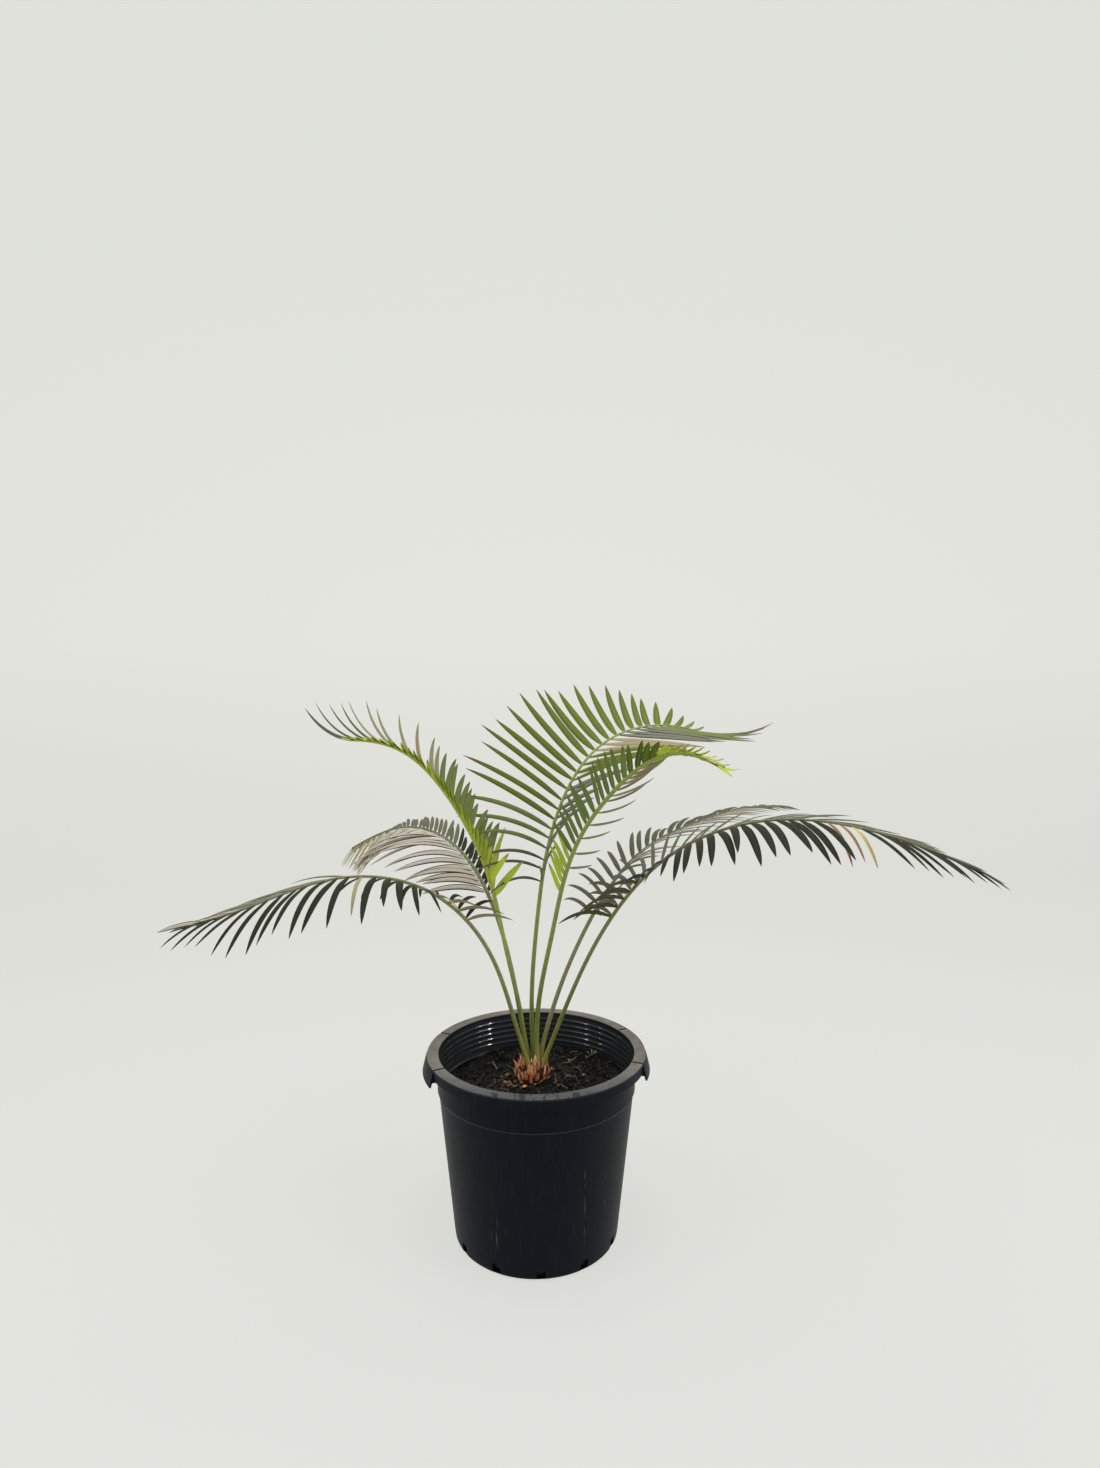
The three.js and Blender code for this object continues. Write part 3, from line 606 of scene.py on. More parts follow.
def stalk_material(kind):
    """Cycad stalk: smooth waxy skin with fine lengthwise fibres and pale specks."""
    material, tree, shader = new_material(kind + " stalk")
    foot, middle, blade = (linear(code) for code in STALK_COLOURS[kind])
    place = add(tree, "ShaderNodeAttribute", attribute_name="place").node.outputs["Fac"]
    specks = add(tree, "ShaderNodeMapRange", (noise_of(tree, 2.381, 2.0), 0.64, 0.7))
    # The fibres are drawn over 1 mm apart, coarser than they are, so that they show
    fibres = noise_of(tree, 1.429, 2.0, (1, 1, 0.05))
    skin = layered(
        tree, foot, (add(tree, "ShaderNodeMapRange", (place, 0.0, 0.12)), middle),
        (add(tree, "ShaderNodeMapRange", (place, 0.2, 0.5)), blade),
        (product(tree, specks, 0.45), linear("#b9a98c")),
        (add(tree, "ShaderNodeMapRange", (fibres, 0.5, 0.85)), linear("#57553a")))
    ridges = add(tree, "ShaderNodeBump", {"Height": fibres, "Distance": 0.0003, "Strength": 0.5})
    fill(tree, shader, {"Base Color": skin, "Roughness": 0.42, "Normal": ridges})
    return material


# Scuffs down the pot's front: x and width, from and to which height, in millimetres
SCUFFS = (
    (61, 1.0, 40, 140), (-50, 1.4, 40, 88), (-57, 0.9, 52, 76), (-39, 0.8, 44, 66), (88, 0.8, 70, 120))
SCUFF_FADE = 6

# Shares of dust in a scuff, in the painted highlight along the rim's top edge and in the thin film all
# over
SCUFF_SHADE = 0.27
EDGE_HIGHLIGHT = 0.12
FILM_SHADE = 0.035


def plastic_material(name, pot, black, roughness, specular, waves):
    """Black polypropylene, injection moulded: satin outside with a few dry scuffs, polished inside by
    the mould, and with dust in clouds on top of the rim. Toward the front the rim's dust is thinned and
    turned grey-blue, painted shade and a painted reflection, and a pale band along the rim's top
    edge is a painted highlight."""
    material, tree, shader = new_material(name)
    place = add(tree, "ShaderNodeTexCoord").node.outputs["Object"]
    x, y, z = add(tree, "ShaderNodeSeparateXYZ", (place,)).node.outputs
    normal = add(tree, "ShaderNodeNewGeometry").node.outputs["Normal"]
    upward = add(tree, "ShaderNodeSeparateXYZ", (normal,)).node.outputs[2]
    dust = tuple(pot.dust)

    # Dust lies in clouds on top of the rim, where smears wiped it off, and thins toward the front
    #     as painted shade
    top = add(tree, "ShaderNodeMapRange", (z, pot.height - 0.0021, pot.height - 0.001))
    flat = add(tree, "ShaderNodeMapRange", (upward, 0.2, 0.8))
    clouds = add(tree, "ShaderNodeMapRange", (noise_of(tree, 18.18, 5.0), 0.3, 0.65))
    clouds = add(tree, "ShaderNodeMath", (clouds, 0.3, 0.62), operation="MULTIPLY_ADD")
    front = add(tree, "ShaderNodeMapRange", (y, -0.06, -0.135))
    # Painted shade: toward the front the rim keeps less dust, so it looks darker
    painted_front_shade = add(tree, "ShaderNodeMath", (front, -0.62, 1.0), operation="MULTIPLY_ADD")
    wiped = add(tree, "ShaderNodeMapRange", (noise_of(tree, 6.25, 2.0, (1, 0.16, 1)), 0.53, 0.57))
    edge = add(tree, "ShaderNodeMapRange", (y, -0.128, -0.134))
    aside = add(tree, "ShaderNodeMath", (x,), operation="ABSOLUTE")
    smears = product(tree, wiped, edge, add(tree, "ShaderNodeMapRange", (aside, 0.075, 0.055)))
    kept = add(tree, "ShaderNodeMath", (1.0, smears), operation="SUBTRACT")
    dust_and_front_shade = product(tree, top, flat, clouds, painted_front_shade, kept)

    # The painted highlight is a pale band along the rim's top edge, and the scuffs are broken streaks
    rim_edge_highlight = add(tree, "ShaderNodeMapRange", (z, pot.height - 0.0035, pot.height - 0.0005))
    scuffs_and_edge_highlight = product(tree, rim_edge_highlight, EDGE_HIGHLIGHT)
    broken = add(tree, "ShaderNodeMapRange", (noise_of(tree, 2.381, 3.0, (1, 1, 0.12)), 0.45, 0.7))
    ahead = add(tree, "ShaderNodeMath", (y, 0.0), operation="LESS_THAN")
    for middle, width, low, high in SCUFFS:
        aside = add(tree, "ShaderNodeMath", (x, middle * MM), operation="SUBTRACT")
        aside = add(tree, "ShaderNodeMath", (aside,), operation="ABSOLUTE")
        scuff = product(
            tree, add(tree, "ShaderNodeMapRange", (aside, width * MM, 0.3 * width * MM)),
            add(tree, "ShaderNodeMapRange", (z, (low - SCUFF_FADE) * MM, low * MM)),
            add(tree, "ShaderNodeMapRange", (z, (high + SCUFF_FADE) * MM, high * MM)),
            broken, ahead, SCUFF_SHADE)
        scuffs_and_edge_highlight = add(tree, "ShaderNodeMath", (scuffs_and_edge_highlight, scuff), operation="MAXIMUM")
    film = add(tree, "ShaderNodeMapRange", (noise_of(tree, 3.846, 4.0, (1, 1, 0.05)), 0.52, 0.9))
    # Toward the front the rim's dust is mixed with grey-blue: a painted reflection
    skin = layered(
        tree, black, (product(tree, film, FILM_SHADE), dust), (scuffs_and_edge_highlight, dust),
        (dust_and_front_shade, layered(tree, dust, (front, linear("#85888a")))))
    if waves:
        bump = add(tree, "ShaderNodeBump", {
            "Height": noise_of(tree, 8.333, 4.0), "Distance": waves, "Strength": 1.0})
    else:
        # The mould's fine grain, coarser than it is, so that it shows
        bump = add(tree, "ShaderNodeBump", {
            "Height": noise_of(tree, 1.667, 4.0), "Distance": 0.0002, "Strength": 0.25})
    rough = add(tree, "ShaderNodeMath", (dust_and_front_shade, 0.35, roughness), operation="MULTIPLY_ADD")
    fill(tree, shader, {
        "Base Color": skin, "Roughness": rough, "Specular IOR Level": specular, "Normal": bump})
    return material


def soil_material(name, dark, light, crumb, roughness=0.8):
    """Potting mix and bark: mottled at the size of its crumbs, with a dull gleam where it is damp."""
    material, tree, shader = new_material(name)
    share = add(tree, "ShaderNodeMapRange", (noise_of(tree, crumb, 6.0), 0.42, 0.72))
    bump = add(tree, "ShaderNodeBump", {
        "Height": noise_of(tree, crumb / 2, 5.0), "Distance": 0.0015, "Strength": 0.8})
    fill(tree, shader, {
        "Base Color": layered(tree, dark, (share, light)), "Roughness": roughness,
        "Specular IOR Level": 0.2, "Normal": bump})
    return material


# Crown scales: foot, tip and edge
SCALE_COLOURS = {
    "salmon": ("#ff9f5e", "#ffd2a4", "#b85c34"),
    "rust": ("#d07a4a", "#eab084", "#84482e"),
    "straw": ("#bca04e", "#d3b070", "#9c7038"),
}


def scale_material(kind):
    """Crown scale: the dry, papery foot of an old leaf, salmon to rust, with darker torn edges."""
    material, tree, shader = new_material(kind + " crown scale")
    foot, tip, edge = (linear(code) for code in SCALE_COLOURS[kind])
    place, across = (
        add(tree, "ShaderNodeAttribute", attribute_name=name).node.outputs["Fac"]
        for name in ("place", "across"))
    skin = layered(
        tree, foot, (add(tree, "ShaderNodeMapRange", (place, 0.1, 0.8)), tip),
        (add(tree, "ShaderNodeMapRange", (noise_of(tree, 4.0), 0.5, 0.75)), edge),
        (add(tree, "ShaderNodeMapRange", (across, 0.7, 1.0)), edge))
    fibres = noise_of(tree, 0.8333, 2.0, (1, 1, 0.2))
    bump = add(tree, "ShaderNodeBump", {"Height": fibres, "Distance": 0.0004, "Strength": 1.0})
    fill(tree, shader, {"Base Color": skin, "Roughness": 0.75, "Normal": bump})
    return material


# The pot

def rounded(corners, steps=4):
    """A profile whose corners (radius, height, fillet) are rounded off by curves of a few points."""
    outline = []
    for k, (r, z, fillet) in enumerate(corners):
        if not fillet:
            outline.append((r, z))
            continue
        here = np.array([r, z])
        ends = []
        for other in (corners[k - 1], corners[(k + 1) % len(corners)]):
            way = np.array(other[:2]) - here
            ends.append(here + unit(way) * min(fillet, 0.45 * np.linalg.norm(way)))
        for u in np.linspace(0, 1, steps + 1):
            point = (1 - u) ** 2 * ends[0] + 2 * u * (1 - u) * here + u ** 2 * ends[1]
            outline.append(tuple(point))
    return outline


def band(low, high, sides):
    """The faces between two rings of vertices that start at low and high."""
    return [(low + i, low + (i + 1) % sides, high + (i + 1) % sides, high + i) for i in range(sides)]


def turned(name, outline, sides):
    """A closed mesh: an outline of (radius, height) from axis to axis, turned round Z."""
    places = [(0, 0, outline[0][1])]
    for r, z in outline[1:-1]:
        angles = np.arange(sides) * 2 * math.pi / sides
        places += [(r * math.cos(a), r * math.sin(a), z) for a in angles]
    places.append((0, 0, outline[-1][1]))
    rings = len(outline) - 2
    faces = [(0, 1 + (i + 1) % sides, 1 + i) for i in range(sides)]
    for k in range(rings - 1):
        faces += band(1 + k * sides, 1 + (k + 1) * sides, sides)
    top, last = 1 + rings * sides, 1 + (rings - 1) * sides
    faces += [(top, last + i, last + (i + 1) % sides) for i in range(sides)]
    return mesh_of(name, places, faces)


def swept(name, outline, start, end, steps):
    """A closed mesh: a closed outline of (radius, height) swept round Z between two headings."""
    places = []
    for a in np.radians(np.linspace(start, end, steps + 1)):
        places += [(r * math.cos(a), r * math.sin(a), z) for r, z in outline]
    n = len(outline)
    faces = [tuple(range(n - 1, -1, -1)), tuple(range(steps * n, steps * n + n))]
    for k in range(steps):
        faces += band(k * n, (k + 1) * n, n)
    return mesh_of(name, places, faces)


# Radius and height of the pot's shoulder and of its foot's corner
SHOULDER = (134.1, 202)
FOOT = (112.5, 9)
POT_SIDES = 144

# The flat rim, and the skirt that hangs from it
RIM_WIDTH = 15.5
SKIRT_DEPTH = 14
SKIRT_WALL = 2.5
FLANGE = 3

# Heights of the rings that stand out of the neck's inner wall
RINGS = (208, 216, 224, 232, 240)
RING_HALF_HEIGHT = 2.4
RING_DEPTH = 1.1

# Headings that each grip spans, how far it hangs down, and its two webs
GRIPS = ((-20, 27), (158, 207))
GRIP_DEPTH = 22.5
WEB_INSET = (4, 4.6)
WEB_SPAN = 0.6

# Grooves in the rim beside the grips
SEAM_HALF_WIDTH = 1.7
SEAM_DEPTH = 2.3

# Drain notches in the foot's corner
NOTCHES = 12
NOTCH_TURN = -87
NOTCH_HALF_WIDTH = 5.5
NOTCH_HEIGHTS = (1.6, 15.5)


def pot_outline(pot):
    """The pot's profile: underside, outer wall, rim, inner wall and floor."""
    rim, height, wall = pot.rim_radius / MM, pot.height / MM, pot.wall / MM
    lip = rim - RIM_WIDTH
    neck = lip - 0.8
    inner_foot = FOOT[0] + 0.4 - wall
    skirt, under = height - SKIRT_DEPTH, height - FLANGE
    corners = [
        (0, 1.2, 0), (60, 1.2, 0), (64, 0, 0), (FOOT[0] - 1, 0, 10), (FOOT[0] + 0.3, FOOT[1], 4),
        (SHOULDER[0] - 0.2, SHOULDER[1], 0.1), (SHOULDER[0] + 1.5, SHOULDER[1] + 0.2, 0.2),
        (SHOULDER[0] + 1.7, under, 1), (rim - SKIRT_WALL, under, 1), (rim - SKIRT_WALL, skirt, 0.8),
        (rim, skirt, 0.8), (rim, height - 4, 0), (rim + 0.1, height - 3.4, 0), (rim, height, 1.4),
        (rim - 3.6, height, 0.2), (rim - 4, height - 0.35, 0.2), (rim - 4.6, height, 0.2),
        (lip, height, 1.2), (neck, height - 5, 0.8),
    ]
    for z in reversed(RINGS):
        corners += [(neck, z + RING_HALF_HEIGHT, 0.8), (neck - RING_DEPTH, z, 0.8),
                    (neck, z - RING_HALF_HEIGHT, 0.8)]
    corners += [(neck, 199.5, 0.4), (SHOULDER[0] - wall - 1.5, 199, 0.6), (inner_foot, 12, 4),
                (inner_foot - 8, 4, 4), (0, 4, 0)]
    return rounded(corners)


def cut(piece, cutter, operation="DIFFERENCE"):
    """Cuts the cutter out of the piece, or joins it on, and takes the cutter away."""
    modifier = piece.modifiers.new("cut", "BOOLEAN")
    modifier.operation, modifier.object, modifier.solver = operation, cutter, "MANIFOLD"
    depsgraph = bpy.context.evaluated_depsgraph_get()
    solid = piece.evaluated_get(depsgraph)
    piece.data = bpy.data.meshes.new_from_object(solid, depsgraph=depsgraph)
    piece.modifiers.remove(modifier)
    bpy.data.objects.remove(cutter)


def box_at(name, heading, inner, outer, half_width, low, high):
    """A box that reaches out from the pot's axis at a heading, in millimetres."""
    a = math.radians(heading)
    out = np.array([math.cos(a), math.sin(a), 0])
    side = np.array([-math.sin(a), math.cos(a), 0])
    corners = ((inner, -half_width), (outer, -half_width), (outer, half_width), (inner, half_width))
    places = [out * r + side * w + np.array([0, 0, z]) for z in (low, high) for r, w in corners]
    faces = [(3, 2, 1, 0), (4, 5, 6, 7), (0, 1, 5, 4), (1, 2, 6, 5), (2, 3, 7, 6), (3, 0, 4, 7)]
    return new_object(name, mesh_of(name, places, faces))


class CYCAS_OT_pot(bpy.types.Operator):
    """Turns the pot, adds its two grips, and cuts the seams in the rim and the drain notches"""
    bl_idname = "cycas.pot"
    bl_label = "Nursery pot"

    def execute(self, context):
        pot, _, _ = settings()
        rim, height = pot.rim_radius / MM, pot.height / MM
        piece = new_object("nursery_pot", turned("nursery_pot", pot_outline(pot), POT_SIDES))
        foot = height - GRIP_DEPTH
        grip = rounded([
            (rim - 2.2, height - 4, 0.3), (rim + 3.6, foot, 0.4), (rim + 6, foot, 0.8),
            (rim + 2, height - 6, 6), (rim - 0.6, height - 0.6, 0.5), (rim - 2.4, height - 0.9, 0.2)])
        inner = SHOULDER[0] + 1.2
        web = [(inner, height - 3.2), (inner, foot + 0.6), (rim + 4.4, foot + 0.6),
               (rim + 1.4, height - 6)]
        for start, end in GRIPS:
            cut(piece, new_object("grip", swept("grip", grip, start, end, 24)), "UNION")
            for heading in (start + WEB_INSET[0], end - WEB_INSET[1]):
                part = swept("web", web, heading, heading + WEB_SPAN, 1)
                cut(piece, new_object("web", part), "UNION")
            for heading in (start, end):
                cut(piece, box_at("seam", heading, rim - RIM_WIDTH + 0.5, rim + 0.6, SEAM_HALF_WIDTH,
                                  height - SEAM_DEPTH, height + 1))
        for k in range(NOTCHES):
            heading = NOTCH_TURN + k * 360 / NOTCHES
            cut(piece, box_at("notch", heading, FOOT[0] - 8.5, FOOT[0] + 8, NOTCH_HALF_WIDTH,
                              *NOTCH_HEIGHTS))
        piece.data.materials.clear()
        piece.data.materials.append(plastic_material(
            "moulded black polypropylene", pot, tuple(pot.plastic), 0.46, 0.07, 0))
        # The inside is the same plastic in a lighter colour than the outside: painted light
        piece.data.materials.append(plastic_material(
            "polished black polypropylene", pot, linear("#33373a"), 0.05, 0.5, 0.0002))
        for face in piece.data.polygons:
            x, y, z = face.center
            r = math.hypot(x, y)
            inside = r < pot.rim_radius - 14 * MM and 0.18 < z < pot.height - 0.003
            inward = x * face.normal.x + y * face.normal.y < 0.5 * r
            face.material_index = int(inside and inward)
        smooth_by_angle(piece, 35)
        seat(piece, "pot", "pot")
        return {"FINISHED"}


# Soil

SOIL_RINGS = 80
SOIL_SIDES = 260
CHIPS_RADIUS = 127

# Where the soil has sunk and lies smooth: x, y, radius and depth in millimetres
HOLLOW = (-86, 62, 42, 9)


def soil_height(x, y, soil):
    """Height of the soil's crumbly top, in millimetres."""
    r = math.hypot(x, y)
    edge, top = soil.edge / MM, soil.top / MM
    heap = edge + (top - edge) * max(0.0, 1 - r / 130) ** 0.7
    away = (x - HOLLOW[0]) ** 2 + (y - HOLLOW[1]) ** 2
    heap -= HOLLOW[3] * math.exp(-away / HOLLOW[2] ** 2)
    lumps = noise.fractal(Vector((x, y, 0)) / 13, 0.75, 2.1, 6) * soil.lumps / MM
    return heap + lumps * min(1, (SHOULDER[0] - r) / 14) - 1


def soil_ring(radius):
    """Evenly spaced (x, y) on a circle round the middle."""
    angles = np.arange(SOIL_SIDES) * 2 * math.pi / SOIL_SIDES
    return [(radius * math.cos(a), radius * math.sin(a)) for a in angles]


def soil_band(inner, outer):
    """The faces between two of the soil's rings of vertices, that start at inner and outer."""
    sides = [(i, (i + 1) % SOIL_SIDES) for i in range(SOIL_SIDES)]
    return [(inner + i, outer + i, outer + j, inner + j) for i, j in sides]


def soil_top(soil, outer):
    """Places and faces of the soil's crumbly top, as rings round the middle."""
    places = [(0, 0, soil_height(0, 0, soil))]
    for k in range(1, SOIL_RINGS + 1):
        ring = soil_ring(outer * k / SOIL_RINGS)
        places += [(x, y, soil_height(x, y, soil)) for x, y in ring]
    faces = [(0, 1 + i, 1 + (i + 1) % SOIL_SIDES) for i in range(SOIL_SIDES)]
    for k in range(SOIL_RINGS - 1):
        faces += soil_band(1 + k * SOIL_SIDES, 1 + (k + 1) * SOIL_SIDES)
    return places, faces


def soil_mesh(soil, wall):
    """The whole of the soil: its top, its side along the pot's wall, and its flat underside."""
    places, faces = soil_top(soil, SHOULDER[0] - wall - 2.2)
    last = 1 + (SOIL_RINGS - 1) * SOIL_SIDES
    foot = len(places)
    for inset, z in ((1, 13), (3, 4.5)):
        places += [(x, y, z) for x, y in soil_ring(FOOT[0] - wall - inset)]
    faces += soil_band(last, foot) + soil_band(foot, foot + SOIL_SIDES)
    faces.append(tuple(foot + SOIL_SIDES + i for i in range(SOIL_SIDES - 1, -1, -1)))
    return mesh_of("potting_mix", places, faces)


# What is strewn on the soil: pieces a square metre, smallest and largest half sizes in millimetres,
# and colours
CHIPS = {
    "dark_bark": (24000.0, (1.6, 1.2, 1.0), (6.5, 4.2, 3.4), "#050404", "#13100d"),
    "grey_bark": (4200.0, (1.2, 0.9, 0.7), (4.6, 3.0, 2.2), "#2b2823", "#5c564c"),
    "brown_bark": (2300.0, (1.2, 0.9, 0.7), (5.5, 2.6, 2.0), "#36251a", "#74563f"),
    "olive_bark": (1500.0, (1.2, 0.8, 0.7), (5.0, 2.4, 2.0), "#3a3623", "#70674a"),
    "pale_grit": (620.0, (0.6, 0.5, 0.5), (1.8, 1.5, 1.3), "#7d6f5a", "#b9a688"),
}


class CYCAS_OT_soil(bpy.types.Operator):
    """Fills the pot with crumbly mix and strews bark, grit and roots on it"""
    bl_idname = "cycas.soil"
    bl_label = "Potting mix"

    def execute(self, context):
        pot, _, soil = settings()
        base = new_object("potting_mix", soil_mesh(soil, pot.wall / MM))
        # The mix's near-black colour is partly painted shade in the gaps between the chips
        base.data.materials.append(
            soil_material("damp potting mix", tuple(soil.mix), linear("#1f1914"), 4.545, 0.5))
        base.data.shade_smooth()
        seat(base, "soil", "soil")
        chips = scatter_tree()
        places, faces = soil_top(soil, CHIPS_RADIUS)
        faces = [face for face in faces
                 if math.dist(places[face[0]][:2], HOLLOW[:2]) > HOLLOW[2] * 0.8]
        for k, (name, (density, low, high, dark, light)) in enumerate(CHIPS.items()):
            bark = soil_material(name.replace("_", " "), linear(dark), linear(light), 2.5)
            piece = grown(name, mesh_of(name, places, faces), chips, {
                "Density": density, "Smallest": [v * MM for v in low],
                "Largest": [v * MM for v in high], "Seed": SEED + k, "Finish": bark})
            piece.data.shade_flat()
            seat(piece, "soil")
        bits = new_object("loose_bits", bits_mesh(soil))
        bits.data.materials.append(
            soil_material("dry bark and clay bits", linear("#6f5238"), linear("#b39368"), 2.857))
        bits.data.shade_flat()
        seat(bits, "soil")
        weeds = grown("seedlings", lines_mesh("seedlings", seedling_lines(soil)), blade_tree(), {
            "Thickness": 0.15, "Fold": 0.2, "Finish": leaf_material("fresh", linear("#66805a"))})
        smooth_by_angle(weeds, 60)
        seat(weeds, "young_leaf")
        fibre = soil_material("dry root fibre", linear("#6a5340"), linear("#b49c7c"), 3.333)
        roots = grown("fine_roots", lines_mesh("fine_roots", root_lines(soil)), tube_tree(), {
            "Sides": 5, "Flatness": 1.0, "Finish": fibre})
        roots.data.shade_smooth()
        seat(roots, "soil")
        return {"FINISHED"}


# Bits that stand out on the soil: x, y and size in millimetres
LOOSE_BITS = (
    (-41, 12, 3.6), (-48, 11, 2.4), (-43, -12, 3.4), (-35, -16, 2.6), (-29, -7, 3.0), (23, 25, 2.7),
    (48, 57, 2.5), (43, 6, 3.4), (66, 5, 3.0), (70, -4, 2.2), (-20, -16, 2.8), (74, 73, 2.2),
    (30, -20, 2.2), (-58, 2, 2.0), (-26, -22, 3.6), (-31, -19, 3.0), (-22, -26, 2.6), (-37, -13, 3.2),
    (-39, -20, 2.4),
)

# Seedlings: x, y, number of leaves and their length in millimetres
SEEDLINGS = ((82, 83, 6, 12), (76, 76, 3, 6))


def bits_mesh(soil):
    """Lumps of bark and clay: rough balls, a little flattened, joined in one mesh."""
    whole = bmesh.new()
    for x, y, size in LOOSE_BITS:
        middle = Vector((x, y, soil_height(x, y, soil) + 0.45 * size))
        for corner in bmesh.ops.create_icosphere(whole, subdivisions=2, radius=size)["verts"]:
            rough = 1 + 0.35 * noise.noise(corner.co * 0.45 + middle)
            corner.co = (Vector((1, 0.85, 0.62)) * corner.co * rough + middle) * MM
    mesh = bpy.data.meshes.new("loose_bits")
    whole.to_mesh(mesh)
    whole.free()
    return mesh


UP = np.array([0.0, 0.0, 1.0])


def seedling_lines(soil):
    """The leaves of the seedlings, which fan out from their feet."""
    lines = []
    shares = np.linspace(0, 1, 7)
    girth = np.interp(shares, (0, 0.35, 0.65, 1), (0.35, 0.5, 1.3, 0.1))
    for x, y, count, length in SEEDLINGS:
        foot = np.array([x, y, soil_height(x, y, soil) - 1])
        for k in range(count):
            a = 2.4 * k + 0.6
            out = np.array([math.cos(a), math.sin(a), 0.0])
            places = [foot + length * (0.75 * u * out + (u - 0.45 * u ** 2) * UP) for u in shares]
            lines.append({
                "places": np.array(places), "facing": np.tile(unit(UP - 0.6 * out), (7, 1)),
                "girth": girth, "tone": 0.5, "place": shares})
    return lines


FIBRE_STEPS = 8
FIBRES = 12

# Twigs and long roots: where each starts and ends, how far it bows to its side, and its radius
TWIGS = (
    ((-74, 72), (-57, 44), 2, 0.8), ((25, 11), (26, -13), 1, 0.55), ((48, 32), (64, 12), 5, 0.45),
    ((26, -13), (42, -31), -4, 0.5), ((38, -2), (60, -14), 6, 0.4), ((-20, 30), (-44, 46), 5, 0.5),
    ((34, 44), (60, 70), -6, 0.7),
)


def twig_line(soil, start, end, bow, radius):
    """A bowed twig that lies on the soil."""
    start, end = np.array(start, float), np.array(end, float)
    side = unit(np.array([start[1] - end[1], end[0] - start[0]]))
    places = []
    for u in np.linspace(0, 1, FIBRE_STEPS + 1):
        x, y = start + (end - start) * u + side * bow * math.sin(math.pi * u)
        places.append((x, y, soil_height(x, y, soil) + 2 + 1.5 * math.sin(math.pi * u)))
    return {"places": np.array(places), "facing": np.tile(UP, (len(places), 1)), "girth": radius}


def root_lines(soil):
    """The twigs, and loose fibres that wander over the soil."""
    draw = np.random.default_rng(SEED)
    lines = [twig_line(soil, *twig) for twig in TWIGS]
    for _ in range(FIBRES):
        r = (CHIPS_RADIUS - 9) * math.sqrt(draw.random())
        a, way = draw.uniform(0, 2 * math.pi), draw.uniform(0, 2 * math.pi)
        x, y = r * math.cos(a), r * math.sin(a)
        length, turn = draw.uniform(14, 40), draw.normal(0, 0.3)
        places = []
        for k in range(FIBRE_STEPS + 1):
            lift = 1.2 + 1.6 * math.sin(math.pi * k / FIBRE_STEPS) * draw.random()
            if math.hypot(x, y) < CHIPS_RADIUS - 1:
                places.append((x, y, soil_height(x, y, soil) + lift))
            way += turn + draw.normal(0, 0.15)
            x += math.cos(way) * length / FIBRE_STEPS
            y += math.sin(way) * length / FIBRE_STEPS
        if len(places) > 3:
            lines.append({
                "places": np.array(places), "facing": np.tile(UP, (len(places), 1)),
                "girth": draw.uniform(0.25, 0.5)})
    return lines


# Crown

CROWN_SCALES = 80
SCALE_STEPS = 8
CROWN_MIDDLE = (-7, -1)
GOLDEN_ANGLE = math.pi * (3 - math.sqrt(5))


def bulb_mesh():
    """The bulb under the scales, a little uneven."""
    outline = rounded([
        (0, 202, 0), (15, 202, 4), (19, 213, 6), (18, 228, 6), (10, CROWN_TOP, 4),
        (0, CROWN_TOP + 2, 0)])
    mesh = turned("crown_bulb", outline, 40)
    for vertex in mesh.vertices:
        vertex.co += vertex.co.normalized() * noise.noise(vertex.co * 220) * 0.0015
        vertex.co += Vector((*CROWN_MIDDLE, 0)) * MM
    return mesh


def scale_lines():
    """Pointed scales set in a spiral round the bulb, sorted by their material: the lower ones splay
    out and curl in again, the upper ones stand round the stalks."""
    draw = np.random.default_rng(SEED + 1)
    sorted_lines = {kind: [] for kind in SCALE_COLOURS}
    shares = np.linspace(0, 1, SCALE_STEPS + 1)
    outline = np.interp(shares, (0, 0.25, 0.6, 0.85, 1), (0.8, 1, 0.72, 0.34, 0.03))
    for k in range(CROWN_SCALES):
        height = k / (CROWN_SCALES - 1)
        a = k * GOLDEN_ANGLE + draw.normal(0, 0.12)
        out = np.array([math.cos(a), math.sin(a), 0.0])
        radius = 15 + 4.5 * math.sin(math.pi * min(1, 0.15 + height)) + draw.normal(0, 2)
        length = draw.uniform(9, 17) + 6 * height
        lean = math.radians(52 - 48 * height + draw.normal(0, 20))
        curl = math.radians(-50 + 30 * height + draw.normal(0, 8))
        places, facing = [], []
        point = out * radius + np.array([*CROWN_MIDDLE, 206 + 26 * height])
        for u in shares:
            tilt = lean + curl * u
            places.append(point.copy())
            facing.append(out * math.cos(tilt) - UP * math.sin(tilt))
            point = point + (out * math.sin(tilt) + UP * math.cos(tilt)) * length / SCALE_STEPS
        if out[0] > 0.6 and height > 0.5:
            kind = "straw"
        else:
            kind = "rust" if draw.random() < 0.45 else "salmon"
        sorted_lines[kind].append({
            "places": np.array(places), "facing": np.array(facing),
            "girth": outline * draw.uniform(2.4, 4.4), "tone": draw.random(), "place": shares})
    return sorted_lines


class CYCAS_OT_crown(bpy.types.Operator):
    """Builds the short stem's bulb and the dry scales round it"""
    bl_idname = "cycas.crown"
    bl_label = "Crown"

    def execute(self, context):
        bulb = new_object("crown_bulb", bulb_mesh())
        bulb.data.materials.append(
            soil_material("brown crown wool", linear("#24150d"), linear("#5e3a24"), 2.0))
        bulb.data.shade_smooth()
        seat(bulb, "crown", "crown")
        for kind, lines in scale_lines().items():
            name = f"{kind}_scales"
            scales = grown(name, lines_mesh(name, lines), blade_tree(), {
                "Thickness": 0.16, "Fold": -0.35, "Finish": scale_material(kind)})
            smooth_by_angle(scales)
            seat(scales, "crown", "crown")
        return {"FINISHED"}


# Fronds

# How much a stalk swells at its foot, over what length, and how deep it starts in the crown
SWELLING = 1.3
SWELLING_LENGTH = 7
SUNK = (14, 7)


